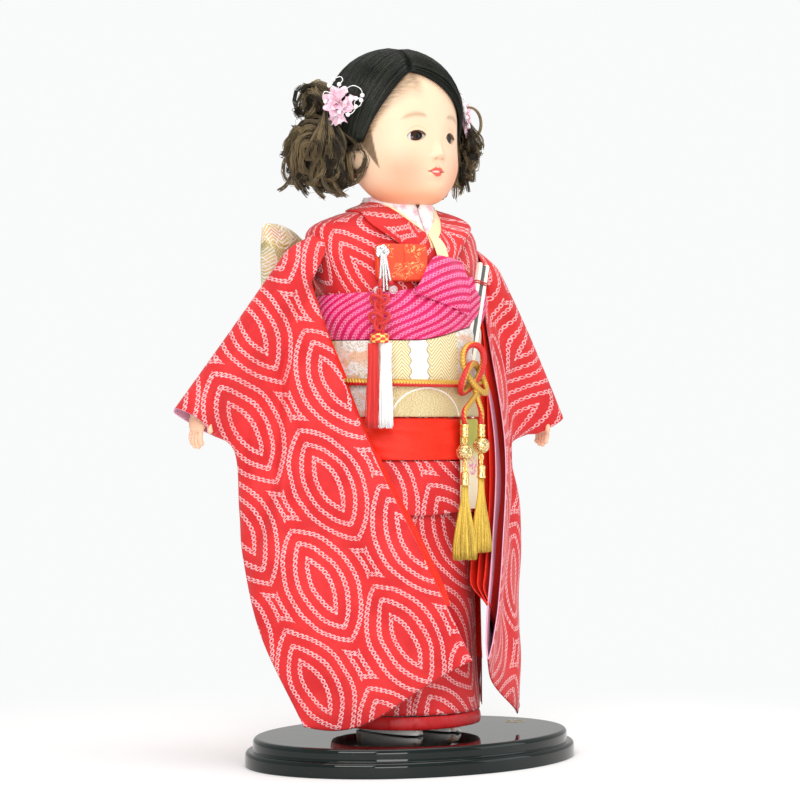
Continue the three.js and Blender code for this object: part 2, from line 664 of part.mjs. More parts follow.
const scarfTop = (angle) =>
  OBI_TOP + mix(SCARF_RIGHT, SCARF_LEFT, smooth(Math.sin(angle), -0.7, 0.6)) - 4 * (1 - Math.cos(angle)) / 2;
const SCARF_ROWS = 4;
const SCARF_CLEAR = LAYER_GAP + 0.5;
const scarfRing = (t, out) => around(1.5 * RING).map((a) => {
  const z = mix(OBI_TOP + TOUCH, scarfTop(a), t);
  const puff = Math.sin(Math.PI * mix(0.12, 0.88, t)) * SCARF_CLOTH * (1 + 0.08 * Math.cos(12 * a + 9 * t));
  return onBody(a, z, SCARF_CLEAR + (out ? puff : 0));
});
const scarfRows = steps(SCARF_ROWS);
const scarf = wall(scarfRows.map((t) => scarfRing(t, true)), scarfRows.map((t) => scarfRing(t, false)));
add(figure, "scarf", cut(scarf, fanPocket), PINK_SCARF);

const scarfFoldAt = (u, v) => {
  const angle = mix(-FOLD_TIP_ANGLE, FAN_ANGLE - 0.16, u);
  const low = OBI_TOP + mix(FOLD_TIP, FOLD_LOW, u);
  const high = low + 2 + (FOLD_PEAK - FOLD_TIP) * smooth(u, -0.1, 0.5) + 4 * smooth(u, 0.4, 1);
  const lift = SCARF_CLEAR + SCARF_CLOTH * 1.08 + LAYER_GAP + SCARF_FOLD_CLOTH / 2;
  const settle = FOLD_SETTLE * smooth(v, 0.55, 1) * smooth(u, 0.6, 1);
  const ride = FOLD_OVER_WALLET * smooth(v, 0, 0.5) * (1 - smooth(u, 0.5, 0.9));
  return onBody(angle, mix(low, high, v), lift + ride - settle);
};
add(figure, "scarf_fold", slab(scarfFoldAt, steps(6), steps(3), SCARF_FOLD_CLOTH), PINK_SCARF);

// Obi cord: one round cord about the obi, tied in a three-lobed knot with two hanging ends

const CORD_Z = OBI_LOW + OBI_HEIGHT * 0.47;
const CORD_GROW = OBI_OUT + TOUCH + CORD_RADIUS;
const KNOT_GROW = OBI_OUT + TOUCH + KNOT_HALF_DEPTH + CORD_RADIUS;
const knotCentre = onBody(KNOT_ANGLE, CORD_Z + 5, KNOT_GROW);
const KNOT_GAP = 0.13;
const cordLoop = curve(...steps(40).map((t) => {
  const angle = KNOT_ANGLE + KNOT_GAP + t * 2 * (Math.PI - KNOT_GAP);
  return onBody(angle, CORD_Z - 1.5 * Math.cos(angle), CORD_GROW);
}));
const knotCurve = new THREE.CatmullRomCurve3(around(36).map((t) => {
  const across = KNOT_LOBE * (Math.sin(t) + 2 * Math.sin(2 * t));
  const up = -KNOT_LOBE * (Math.cos(t) - 2 * Math.cos(2 * t));
  return knotCentre.clone()
    .addScaledVector(sideways(KNOT_ANGLE), across)
    .addScaledVector(outward(KNOT_ANGLE), -KNOT_HALF_DEPTH * Math.sin(3 * t))
    .add(vec(0, 0, up));
}), true);
const knot = welded(new THREE.TubeGeometry(knotCurve, 27, CORD_RADIUS * 0.85, 5, true));
const CHARM_GROW = SASH_OUT + GOLD_BALL_RADIUS + 8;
const CHARM_TOP = SASH_LOW + SASH_HEIGHT * 0.86;
const charmAt = (angle) => onBody(angle, CHARM_TOP, CHARM_GROW);
const cordEnd = (angle) => rod(curve(
  knotCentre.clone().add(vec(0, 0, -KNOT_LOBE)),
  knotCentre.clone().add(vec(0, 0, -2.6 * KNOT_LOBE)).addScaledVector(outward(KNOT_ANGLE), 1.5),
  charmAt(angle).add(vec(0, 0, 7)),
  charmAt(angle).add(vec(0, 0, 2 * TOUCH)),
), CORD_RADIUS * 0.75, 6, 5);
const cordRing = rod(cordLoop, CORD_RADIUS, 26, 5);
add(figure, "obi_cord", joined(cordRing, knot, cordEnd(RIGHT_CHARM_ANGLE), cordEnd(LEFT_CHARM_ANGLE)), SCARLET);

// Gold charms: ferrule, two links and a ball on each cord end, with a thread tassel under the ball

const BALL_DROP = 17;
const TASSEL_DROP = BALL_DROP + GOLD_BALL_RADIUS + 6;
function threads(length, topWide, lowWide, thick, count, topZ) {
  const rows = [[0, 0.5], [0.06, 0.75], [0.16, 0.62], [0.3, 0.8], [0.65, 0.95], [1, 1]];
  return loft(rows.map(([t, spread]) => around(2 * count).map((a, i) => {
    const ridge = i % 2 ? 1 : 0.86;
    const wide = mix(topWide, lowWide, t) * spread * ridge;
    return vec((wide / 2) * Math.cos(a), (thick / 2) * spread * ridge * Math.sin(a), topZ - t * length);
  })));
}
function charm(name, angle) {
  const group = new THREE.Group();
  group.position.copy(charmAt(angle));
  group.rotation.z = angle;
  figure.add(group);
  const ferrule = upright(CORD_RADIUS * 1.05, -8, -TOUCH, 0, 0, 8);
  const stem = upright(0.8, -TASSEL_DROP - 1.5, -7, 0, 0, 6);
  const shell = ball(vec(0, 0, -BALL_DROP), GOLD_BALL_RADIUS, 8);
  const link = welded(new THREE.TorusGeometry(1.7, 0.7, 5, 8).rotateX(Math.PI / 2).rotateY(Math.PI / 2)
    .translate(0, 0, -10.2));
  const cap = upright(2.5, -TASSEL_DROP - 9, -TASSEL_DROP - 1, 0, 0, 8);
  add(group, `${name}_gold_charm`, joined(ferrule, stem, shell, link, cap), GOLD);
  const skirt = threads(GOLD_TASSEL_LENGTH, 5, GOLD_TASSEL_WIDTH, 6, 9, -TASSEL_DROP - 9 - TOUCH);
  add(group, `${name}_gold_tassel`, skirt, GOLD_THREAD);
}
charm("right", RIGHT_CHARM_ANGLE);
charm("left", LEFT_CHARM_ANGLE);

// Hanging tag: a plain card on a thread loop behind the charms

const tagGroup = new THREE.Group();
const TAG_GROW = Math.max(SASH_OUT, TUCK_OUT) + TAG_THICK / 2 + 1.4;
tagGroup.position.copy(onBody(TAG_ANGLE, OBI_LOW - 1, TAG_GROW));
tagGroup.rotation.z = TAG_ANGLE;
figure.add(tagGroup);
const tagCard = box(TAG_WIDTH, TAG_THICK, TAG_HEIGHT).translate(0, 0, -TAG_HEIGHT / 2);
const tagEye = upright(1.2, -4.2, -1.8, 0, 0, 10);
tagEye.rotateX(Math.PI / 2).translate(0, 0, -3);
add(tagGroup, "tag", cut(tagCard, tagEye), PAPER);

// Collars: bands that run from the right front round the nape to the left front, left over right

const collarHeight = (turn) => {
  const t = Math.abs(turn) / Math.PI;
  const side = COLLAR - COLLAR_SIDE_DROP;
  const back = side + (COLLAR_NAPE_RISE + COLLAR_SIDE_DROP) * (1 - smooth(t, 0, 0.5));
  return t < 0.5 ? back : side - (COLLAR_FRONT_DROP - COLLAR_SIDE_DROP) * ((t - 0.5) / 0.5) ** 1.6;
};
const RIGHT_END = -1.03 * Math.PI;
const LEFT_END = 1.01 * Math.PI;
const COLLAR_STAND = 2;
const FRONT_SLOPE = 0.9;
const SIDE_SLOPE = 0.42;
const BAND_GAP = 1.4;
function collar(above, band) {
  return slab((u, v) => {
    const turn = mix(RIGHT_END, LEFT_END, u);
    const lap = COLLAR_STAND + COLLAR_CLOTH / 2 + COLLAR_LAP * smooth(turn, -2.2, 2.6);
    const slope = mix(FRONT_SLOPE, SIDE_SLOPE, Math.abs(Math.sin(turn)));
    const high = collarHeight(turn) + above * slope;
    const z = mix(high - band * slope, high, v);
    return onBody(Math.PI - turn, z, lap);
  }, steps(22), steps(2), COLLAR_CLOTH);
}
add(figure, "collar", collar(0, COLLAR_BAND), KIMONO);
add(figure, "accent_collar", collar(BAND_GAP + ACCENT_BAND, ACCENT_BAND), CREAM_CLOTH);
add(figure, "under_collar", collar(2 * BAND_GAP + ACCENT_BAND + UNDER_BAND, UNDER_BAND), WHITE_CLOTH);

// Brocade wallet in the collar, its silver charm, and its cord with a knot and two tassels

const WALLET_SEAT = -1.9;
const walletGroup = new THREE.Group();
const WALLET_GROW = COLLAR_STAND + COLLAR_CLOTH + WALLET_SEAT;
const WALLET_Z = OBI_TOP + SCARF_LEFT + 6;
walletGroup.position.copy(onBody(WALLET_ANGLE, WALLET_Z, WALLET_GROW + WALLET_THICK / 2));
walletGroup.rotation.set(-0.12, 0, WALLET_ANGLE * 0.9);
figure.add(walletGroup);
const walletEdge = new THREE.Shape([
  new THREE.Vector2(-WALLET_WIDTH / 2, -WALLET_HEIGHT / 2),
  new THREE.Vector2(WALLET_WIDTH / 2, -WALLET_HEIGHT / 2),
  new THREE.Vector2(WALLET_WIDTH / 2, WALLET_HEIGHT / 2),
  new THREE.Vector2(-WALLET_WIDTH / 2, WALLET_HEIGHT / 2),
]);
const WALLET_ROUND = 1.2;
const walletCore = WALLET_THICK - 2 * WALLET_ROUND;
const walletBevel = {
  depth: walletCore,
  bevelThickness: WALLET_ROUND,
  bevelSize: 1,
  bevelOffset: -1,
  bevelSegments: 2,
};
const walletBody = welded(new THREE.ExtrudeGeometry(walletEdge, walletBevel)
  .translate(0, 0, -walletCore / 2)
  .rotateX(Math.PI / 2));

const silverGroup = new THREE.Group();
silverGroup.position.set(-WALLET_WIDTH / 2 + 3, -WALLET_THICK / 2 - SILVER_HALF - TOUCH, WALLET_HEIGHT / 4);
walletGroup.add(silverGroup);
const silverRows = [[-SILVER_HALF, 0.6], [0, 1], [SILVER_HALF, 0.6]];
const silverHead = loft(silverRows.map(([y, fat]) => around(10).map((a, i) => {
  const petal = fat * (i % 2 ? 3 : 4.4);
  return vec(petal * Math.cos(a), y, petal * Math.sin(a));
})));
const silverChains = [-2.4, 0, 2.4].flatMap((x) => [
  rod(line(vec(x * 0.5, 0, 0), vec(x, -1, -SILVER_DROP + 8)), 0.6, 1, 4),
  ball(vec(x, -1, -SILVER_DROP + 7), 1.5, 4),
]);
add(silverGroup, "silver_charm", joined(silverHead, ...silverChains), SILVER);

const hangGroup = new THREE.Group();
const HANG_GROW = OBI_OUT + TOUCH + 2 * CORD_RADIUS + TASSEL_THICK / 2 + 1;
const HANG_Z = OBI_TOP + SCARF_RIGHT + 1;
hangGroup.position.copy(onBody(CHARM_ANGLE, HANG_Z, HANG_GROW));
hangGroup.rotation.z = CHARM_ANGLE;
figure.add(hangGroup);
const HANG_KNOT = 1.9;
const hangCurve = new THREE.CatmullRomCurve3(around(24).map((t) => vec(
  HANG_KNOT * (Math.sin(t) + 2 * Math.sin(2 * t)),
  -1.5 * Math.sin(3 * t),
  HANG_KNOT * (Math.cos(t) - 2 * Math.cos(2 * t)) - 14,
)), true);
const hangKnot = welded(new THREE.TubeGeometry(hangCurve, 21, 1.05, 4, true));
const hangCord = rod(curve(vec(0, 0, 0), vec(0.6, 0, -6), vec(0, 0, -13)), 1.05, 4, 5);
const KNOT_FOOT = 28;
const tasselStrings = [-1, 1].map((side) => rod(curve(
  vec(side * 0.8, 0, -14), vec(side * 2.6, 0, -KNOT_FOOT + 5), vec(side * TASSEL_APART / 2, 0, -KNOT_FOOT + 1),
), 0.95, 3, 4));
const tasselCaps = [-1, 1].map((side) => upright(TASSEL_WIDTH * 0.34, -KNOT_FOOT - 4, -KNOT_FOOT + 1.5,
  side * TASSEL_APART / 2, 0, 6));
walletGroup.updateMatrix();
const hangLocal = hangGroup.position.clone().applyMatrix4(walletGroup.matrix.clone().invert());
const walletLoop = rod(curve(
  vec(-WALLET_WIDTH / 2 + 2, 0, -WALLET_HEIGHT / 2 + 2),
  vec(-WALLET_WIDTH / 2 - 0.5, 0, -WALLET_HEIGHT / 2 - 1),
  hangLocal.clone().add(vec(0, 0, 2.6)),
  hangLocal.clone().add(vec(0, 0, 2 * TOUCH)),
), 1, 4, 5);
add(walletGroup, "wallet", joined(walletBody, walletLoop), BROCADE);
add(hangGroup, "wallet_cord", joined(hangKnot, hangCord, ...tasselStrings, ...tasselCaps), SCARLET);
const hangTassel = (side) => threads(TASSEL_LENGTH, TASSEL_WIDTH * 0.8, TASSEL_WIDTH, TASSEL_THICK, 8,
  -KNOT_FOOT - 4 - TOUCH).translate(side * TASSEL_APART / 2, 0, 0);
add(hangGroup, "red_tassel", hangTassel(-1), SCARLET);
add(hangGroup, "white_tassel", hangTassel(1), WHITE_CLOTH);

// Obi bow at the back: two puffed wings, a knot strap and a hanging end

const BOW_Z = OBI_TOP + 38;
const BOW_Y = bodyAt(BOW_Z).back + bodyAt(BOW_Z).deep + SCARF_CLEAR + 1.08 * SCARF_CLOTH - 0.4 + BOW_PUFF / 2;
const wingRows = [[0, 0.34, 0.45], [0.2, 0.62, 0.85], [0.5, 0.92, 1], [0.8, 1, 0.9], [1, 0.86, 0.3]];
const wing = loft(wingRows.map(([t, tall, puff]) => around(16).map((a) => vec(
  -BOW_KNOT_WIDTH / 2 - TOUCH - t * BOW_WING,
  BOW_Y + (puff * BOW_PUFF / 2) * Math.sin(a) * (1 - 0.18 * Math.cos(3 * a)),
  BOW_Z + 9 * t + (tall * BOW_HEIGHT / 2) * Math.cos(a),
))));
pair(figure, "bow_wing", wing, BROCADE);
const bowKnot = loft([[-0.62, 0.7], [-0.5, 1], [0, 1.06], [0.5, 1], [0.72, 0.6]].map(([t, fat]) => {
  return around(16).map((a) => vec(
    (fat * BOW_KNOT_WIDTH / 2.2) * Math.cos(a),
    BOW_Y + (fat * BOW_PUFF * 0.5) * Math.sin(a),
    BOW_Z + 4 + t * BOW_HEIGHT,
  ));
}));
add(figure, "bow_knot", bowKnot, BROCADE);
const BOW_TAIL_TOP = BOW_Z + 4 - 0.62 * BOW_HEIGHT - TOUCH;
const bowTailAt = (u, v) => vec(
  (v - 0.5) * BOW_TAIL_WIDTH * mix(0.7, 1, smooth(u, 0, 0.3)),
  BOW_Y - 3.4 * smooth(u, 0, 0.35) + 1.2 * Math.cos(4 * Math.PI * v) * u,
  BOW_TAIL_TOP - u * BOW_TAIL_LENGTH,
);
add(figure, "bow_tail", slab(bowTailAt, steps(8), steps(8), BOW_TAIL_CLOTH), BROCADE);

// Arms in the sleeves

const rightArm = new THREE.Group();
const leftArm = new THREE.Group();
figure.add(rightArm, leftArm);
const bothArms = (name, geometry, material) => {
  add(rightArm, `right_${name}`, geometry, material);
  add(leftArm, `left_${name}`, mirrored(geometry), material);
};
const WRIST = ARM_PIVOT.clone().add(vec(-ARM_REACH, ARM_BACK, -ARM_DROP));
const onArm = (t) => ARM_PIVOT.clone().lerp(WRIST, t);
const EYE_RING = SHOULDER_PIN_RADIUS + ARM_EYE_FIT + ARM_WIRE_RADIUS;
const armLength = ARM_PIVOT.distanceTo(WRIST);
const eyeRing = welded(new THREE.TorusGeometry(EYE_RING, ARM_WIRE_RADIUS, 6, 14).rotateX(Math.PI / 2)
  .translate(ARM_PIVOT.x, ARM_PIVOT.y, ARM_PIVOT.z));
const wireStem = rod(line(onArm(EYE_RING / armLength), onArm(0.74)), ARM_WIRE_RADIUS, 2);
bothArms("arm_wire", joined(eyeRing, wireStem), STEEL);

const armAlong = WRIST.clone().sub(ARM_PIVOT).normalize();
const armBasis = new THREE.Quaternion().setFromUnitVectors(vec(0, 0, 1), armAlong);
const armRing = (t, r) => around(9).map((a) => vec(r * Math.cos(a), r * Math.sin(a), 0)
  .applyQuaternion(armBasis).add(onArm(t)));
const wireHole = rod(line(onArm(0.02), onArm(0.745)), ARM_WIRE_RADIUS + TOUCH, 2);
const UPPER_START = (SHOULDER_WIDTH / 2 - SHOULDER_X + 5) / ARM_REACH;
const UPPER_END = 0.58;
const upperRows = [[0, 0.75], [0.15, 1], [0.8, 0.95], [1, 0.8]];
const upperArm = loft(upperRows.map(([t, fat]) =>
  armRing(mix(UPPER_START, UPPER_END, t), fat * UPPER_ARM_RADIUS)));
bothArms("upper_arm", cut(upperArm, wireHole), COTTON);

const HAND_TURN = vec(-0.12, 0.1, -1).normalize();
const palm = welded(new THREE.SphereGeometry(1, 7, 5).scale(3.6, 6, 7.6)
  .translate(WRIST.x - 1.2, WRIST.y + 0.6, WRIST.z - 8));
const fingers = [-4.4, -1.5, 1.5, 4.3].map((y, i) => {
  const root = vec(WRIST.x - 1.8, WRIST.y + y + 0.6, WRIST.z - 12);
  const reach = FINGER_LENGTH * (i === 0 || i === 3 ? 0.86 : 1);
  const mid = root.clone().addScaledVector(HAND_TURN, reach * 0.55);
  return rod(curve(root, mid, mid.clone().add(vec(1.2, 0, -reach * 0.45))), FINGER_RADIUS, 2, 5);
});
const thumb = rod(curve(
  vec(WRIST.x - 0.6, WRIST.y - 4, WRIST.z - 5),
  vec(WRIST.x + 0.6, WRIST.y - 7.4, WRIST.z - 10),
  vec(WRIST.x + 1, WRIST.y - 8, WRIST.z - 15),
), FINGER_RADIUS * 1.05, 2, 5);
const wristFat = WRIST_RADIUS / FOREARM_RADIUS;
const forearmRows = [[UPPER_END + 0.005, 0.9], [0.68, 1], [0.86, 0.86], [1, wristFat], [1.04, 0.5]];
const forearm = loft(forearmRows.map(([t, fat]) => armRing(t, fat * FOREARM_RADIUS)));
bothArms("hand", cut(joined(forearm, palm, ...fingers, thumb), wireHole), SKIN);

// Sleeves: each is a loft of closed sections from the shoulder seam to the cuff.
// Two edge lines carry it: the open inner edge falls to the front, the outer edge falls from the cuff.

const seamX = SHOULDER_WIDTH / 2 + SLEEVE_CLEAR;
const seamTop = vec(-seamX, SHOULDER_BACK, SHOULDER + SEAM_RISE);
const sleeveFoot = seamTop.z - SLEEVE_LENGTH;
const innerEdge = curve(
  seamTop,
  vec(-seamX + 1, SHOULDER_BACK - 3, mix(seamTop.z, sleeveFoot, 0.117)),
  vec(-seamX + 3, SHOULDER_BACK - 12, mix(seamTop.z, sleeveFoot, 0.227)),
  vec(-seamX + 14, -SLEEVE_SWING * 0.45, mix(seamTop.z, sleeveFoot, 0.508)),
  vec(-mix(seamX, SLEEVE_MEET, 0.6), -SLEEVE_SWING * 0.75, mix(seamTop.z, sleeveFoot, 0.754)),
  vec(-SLEEVE_MEET, -SLEEVE_SWING, sleeveFoot),
);
const cuffTop = vec(WRIST.x - CUFF_REACH, WRIST.y + 1.5, WRIST.z);
const cuffLow = cuffTop.clone().add(vec(CUFF_OPENING * 0.85, 1, -CUFF_OPENING * 0.54));
const outerEdge = curve(
  cuffTop,
  cuffLow,
  cuffLow.clone().add(vec(20, 1, -11)),
  cuffLow.clone().add(vec(24, 1, -47)),
  cuffLow.clone().add(vec(26, 0, -75)),
  cuffLow.clone().add(vec(31, -11, -120)),
  vec(cuffLow.x + 43, -15, sleeveFoot - 38),
);
function sleeveMiddle(s, h) {
  const inner = innerEdge.getPoint(h);
  const outer = outerEdge.getPoint(h);
  const spot = inner.lerp(outer, s);
  const belly = Math.sin(Math.PI * Math.min(Math.max(s, 0), 1));
  spot.z -= SLEEVE_SAG * Math.sin(Math.PI * Math.min(Math.max(s, 0), 1) ** 1.6) * h ** 3;
  const crease = SLEEVE_FOLD * Math.sin(2.5 * Math.PI * (s * 0.8 + 0.45 * h)) * smooth(h, 0.25, 0.6);
  return spot.addScaledVector(vec(-0.64, -0.77, 0), belly * (6 * Math.sin(Math.PI * h) + crease));
}
function sleeveNormal(s, h) {
  const e = 1e-3;
  const a = Math.min(Math.max(s, e), 1 - e);
  const b = Math.min(Math.max(h, e), 1 - e);
  const along = sleeveMiddle(a + e, b).sub(sleeveMiddle(a - e, b));
  const down = sleeveMiddle(a, b + e).sub(sleeveMiddle(a, b - e));
  const normal = along.cross(down).normalize();
  return normal.y > 0 ? normal.negate() : normal;
}
function sleeveHalf(s, h) {
  const armDepth = mix(0.125, 0.062, s);
  const reach = mix(0.13, 0.1, s);
  const room = SLEEVE_TUNNEL + SLEEVE_WALL - SLEEVE_BAG / 2;
  const bulge = room * Math.exp(-(((h - armDepth) / reach) ** 2));
  return (SLEEVE_BAG / 2 + bulge) * Math.sqrt(Math.min(1, h / 0.045)) * (1 - 0.55 * smooth(h, 0.9, 1));
}
const SLEEVE_S = steps(7);
const SLEEVE_H = [0, 0.012, 0.04, 0.09, 0.15, 0.22, 0.31, 0.42, 0.55, 0.68, 0.8, 0.9, 1];
const sleeveSide = (s, h, side) =>
  sleeveMiddle(s, h).addScaledVector(sleeveNormal(s, h), side * Math.max(sleeveHalf(s, h), 0.4));
const sleeveRing = (s) => [
  ...SLEEVE_H.map((h) => sleeveSide(s, h, 1)),
  ...SLEEVE_H.slice().reverse().map((h) => sleeveSide(s, h, -1)),
];
const sleeveBlank = loftStrips(SLEEVE_S.map(sleeveRing), SLEEVE_H.length);
const tunnel = rod(curve(
  onArm(0.05), onArm(0.4), onArm(0.75), WRIST,
  WRIST.clone().add(vec(-3, 2, -14)), WRIST.clone().add(vec(-3, 2, -34)),
), SLEEVE_TUNNEL, 12, 10);
const INNER_LOW = 0.88;
const INNER_HIGH = 0.64;
const INNER_END = 0.88;
const innerSleeveAt = (u, v) =>
  sleeveMiddle(mix(-INNER_SLEEVE_SHOWS, INNER_END, u), mix(INNER_HIGH, INNER_LOW, v));
const innerSlotAt = (u, v) =>
  sleeveMiddle(mix(-2 * INNER_SLEEVE_SHOWS, INNER_END + 0.012, u),
    mix(INNER_HIGH - 0.01, INNER_LOW + 0.006, v));
const innerU = steps(6);
const innerV = steps(5);
const innerSleeve = slab(innerSleeveAt, innerU, innerV, INNER_SLEEVE_CLOTH);
const innerSlot = slab(innerSlotAt, innerU, innerV, INNER_SLEEVE_CLOTH + 6 * TOUCH);
bothArms("sleeve", cut(sleeveBlank, tunnel, innerSlot), KIMONO);
bothArms("inner_sleeve", innerSleeve, SCARLET);

// Head: one moulded piece with its neck, on a wooden peg that turns in the body

const headGroup = new THREE.Group();
headGroup.position.set(0, NAPE_BACK, CORE_TOP + TOUCH);
figure.add(headGroup);
const HEAD_CENTRE = vec(0, HEAD_BACK, HEAD_RISE);
const bump = (v, at, spread) => Math.exp(-(((v - at) / spread) ** 2));

// A point on the face or skull: the turn is 0 at the nose and grows to the doll's left, the tilt is 0 level.
function onHead(turn, tilt, grow) {
  const facing = Math.cos(turn);
  const side = Math.atan2(Math.sin(turn), facing);
  const rise = Math.sin(tilt);
  const square = tilt > 0 ? 2.2 : mix(mix(2, 3, smooth(facing, -0.5, 0.2)), 4.6, smooth(facing, 0.35, 1));
  const level = Math.max(1 - Math.abs(rise) ** square, 1e-6) ** (1 / square);
  const deep = mix(HEAD_REAR, HEAD_FRONT, smooth(facing, -0.4, 0.4));
  const tall = tilt > 0 ? HEAD_CROWN : mix(HEAD_NAPE, HEAD_JAW, smooth(facing, -0.6, 0.5));
  const nose = NOSE * bump(side, 0, 0.1) * bump(rise, -0.42, 0.09);
  const ridge = 0.3 * NOSE * bump(side, 0, 0.1) * bump(rise, -0.2, 0.16);
  const lips = LIPS * bump(side, 0, 0.16) * bump(rise, -0.64, 0.06);
  const chin = CHIN * bump(side, 0, 0.3) * bump(rise, -0.85, 0.1);
  const cheeks = CHEEKS * (bump(side, 0.62, 0.3) + bump(side, -0.62, 0.3)) * bump(rise, -0.55, 0.22);
  const sockets = -SOCKETS * (bump(side, 0.35, 0.17) + bump(side, -0.35, 0.17)) * bump(rise, -0.17, 0.12);
  const swell = grow + nose + ridge + lips + chin + cheeks + sockets;
  return vec(
    (HEAD_WIDTH / 2 + swell) * level * Math.sin(turn),
    -(deep + swell) * level * facing,
    (tall + grow) * rise,
  ).add(HEAD_CENTRE);
}
const HEAD_TURNS = around(28).map((a) => a - 0.5 * Math.sin(a));
const HEAD_TILTS = steps(19).slice(1, -1).map((t) => Math.asin(Math.sin((t - 0.5) * Math.PI)));
const skull = loft(HEAD_TILTS.map((tilt) => HEAD_TURNS.map((turn) => onHead(turn, tilt, 0))));
const neck = upright(NECK_RADIUS, 0, HEAD_RISE - HEAD_JAW + 16, 0, 0, 16);
const eyeAt = (side) => {
  const turn = side * Math.asin(EYE_APART / HEAD_WIDTH);
  const inward = vec(-Math.sin(turn * 0.6), Math.cos(turn * 0.6), 0);
  return onHead(turn, -Math.asin(EYE_DROP / HEAD_JAW), 0).addScaledVector(inward, EYE_RADIUS - EYE_SHOWS);
};
const neckPeg = (fit) => upright(NECK_PEG_RADIUS + fit, -NECK_PEG_LENGTH, 14 + fit, 0, 0, 12);
const headSolid = cut(joined(skull, neck), ball(eyeAt(-1), EYE_RADIUS + TOUCH, 8),
  ball(eyeAt(1), EYE_RADIUS + TOUCH, 8), neckPeg(TOUCH / 2));
add(headGroup, "head", headSolid, SKIN);
add(headGroup, "right_eye", ball(eyeAt(-1), EYE_RADIUS, 8), GLASS_EYE);
add(headGroup, "left_eye", ball(eyeAt(1), EYE_RADIUS, 8), GLASS_EYE);
add(headGroup, "neck_peg", neckPeg(0), WOOD);

// Hair cap: from a hairline that peaks at the parting, drops to the temples and runs round the nape

const TEMPLE_TURN = 1.2;
const PART_TILT = 0.74;
const TEMPLE_TILT = -0.26;
const NAPE_TILT = -0.62;
const PART_GROOVE = 1.1;
function hairline(turn) {
  const near = Math.atan2(Math.sin(turn), Math.cos(turn));
  const span = near < PART_ANGLE ? TEMPLE_TURN + PART_ANGLE : TEMPLE_TURN - PART_ANGLE;
  const from = Math.abs(near - PART_ANGLE) / span;
  const temple = mix(PART_TILT, TEMPLE_TILT, Math.min(from, 1) ** 1.25);
  return from < 1 ? temple : mix(TEMPLE_TILT, NAPE_TILT, smooth(Math.abs(near), TEMPLE_TURN, 2.2));
}
const CAP_GAP = 1.7;
const capTurns = around(28);
const capPoint = (turn, t, grow) => onHead(turn, mix(hairline(turn), Math.PI / 2 - 0.03, t), grow);
const capOut = (turn, t) => {
  const near = Math.atan2(Math.sin(turn), Math.cos(turn));
  const groove = PART_GROOVE * bump(near, PART_ANGLE, 0.09) * (1 - smooth(t, 0.6, 0.95));
  return CAP_GAP + HAIR_THICK * Math.sqrt(mix(0.12, 1, smooth(t, 0, 0.25))) - groove * smooth(t, 0, 0.1);
};
const capRows = steps(6);
const capShell = [
  ...capRows.map((t) => capTurns.map((turn) => capPoint(turn, t, CAP_GAP))).reverse(),
  ...capRows.map((t) => capTurns.map((turn) => capPoint(turn, t, capOut(turn, t)))),
];
const hairCap = loft(capShell);
const headRoom = loft(HEAD_TILTS.map((tilt) => HEAD_TURNS.map((turn) => onHead(turn, tilt, TOUCH * 0.8))));
add(headGroup, "hair_cap", hairCap, BLACK_HAIR);

// Curled bunches behind the temples, each with a cloth flower and beads on wire

const bunchPath = curve(
  vec(-HEAD_WIDTH / 2 - 3, BUNCH_BACK + 3, HEAD_RISE + 20),
  vec(-BUNCH_OUT, BUNCH_BACK + 1, HEAD_RISE + 2),
  vec(-BUNCH_OUT, BUNCH_BACK - 2, HEAD_RISE - 20),
  vec(-BUNCH_OUT + 5, BUNCH_BACK - 4, HEAD_RISE + 20 - BUNCH_LENGTH),
);
const bunchRows = [[0, 0.3], [0.12, 0.7], [0.3, 0.96], [0.5, 1], [0.7, 0.98], [0.86, 0.78], [1, 0.34]];
const bunchBlank = loft(bunchRows.map(([t, fat]) => around(4 * BUNCH_CURLS).map((a) => {
  const curl = 1 + 0.1 * Math.cos(BUNCH_CURLS * a + 7 * t);
  return bunchPath.getPoint(t).add(vec(
    (BUNCH_WIDTH / 2) * fat * curl * Math.cos(a),
    (BUNCH_DEPTH / 2) * fat * curl * Math.sin(a),
    3 * Math.sin(2 * a + 5 * t),
  ));
})));
const capRoom = loft(steps(12).slice(1).map((t) => capTurns.map((turn) => {
  return onHead(turn, mix(-Math.PI / 2, Math.PI / 2 - 0.03, t), CAP_GAP + HAIR_THICK + 2 * TOUCH);
})));
const flowerSpot = vec(-HEAD_WIDTH / 2 - 10, -4.5, HEAD_RISE + 14);
const flowerTurn = new THREE.Quaternion().setFromUnitVectors(vec(0, 0, 1), vec(-0.72, -0.66, 0.2).normalize());
const flowerPoint = (x, y, z) => vec(x, y, z).applyQuaternion(flowerTurn).add(flowerSpot);
const petals = around(5).map((a) => welded(new THREE.SphereGeometry(1, 5, 3)
  .scale(FLOWER_RADIUS * 0.52, FLOWER_RADIUS * 0.44, FLOWER_RADIUS * 0.22)
  .translate(FLOWER_RADIUS * 0.5, 0, 0)
  .rotateY(-0.35)
  .rotateZ(a)
  .applyQuaternion(flowerTurn)
  .translate(flowerSpot.x, flowerSpot.y, flowerSpot.z)));
const SPRAYS = 3;
const FLOWER_BACK = 0.19 * FLOWER_RADIUS;
const sprays = steps(SPRAYS - 1).flatMap((t) => {
  const a = mix(-0.6, Math.PI + 0.9, t);
  const far = FLOWER_RADIUS * (1.35 + 0.35 * Math.sin(5 * t));
  const tip = flowerPoint(far * Math.cos(a), far * Math.sin(a), 2.5);
  return [rod(line(flowerPoint(0, 0, 0), tip), 0.5, 1, 4), ball(tip, BEAD_RADIUS, 4)];
});
const flower = joined(...petals, ball(flowerPoint(0, 0, 1.4), FLOWER_RADIUS * 0.34, 4), ...sprays);
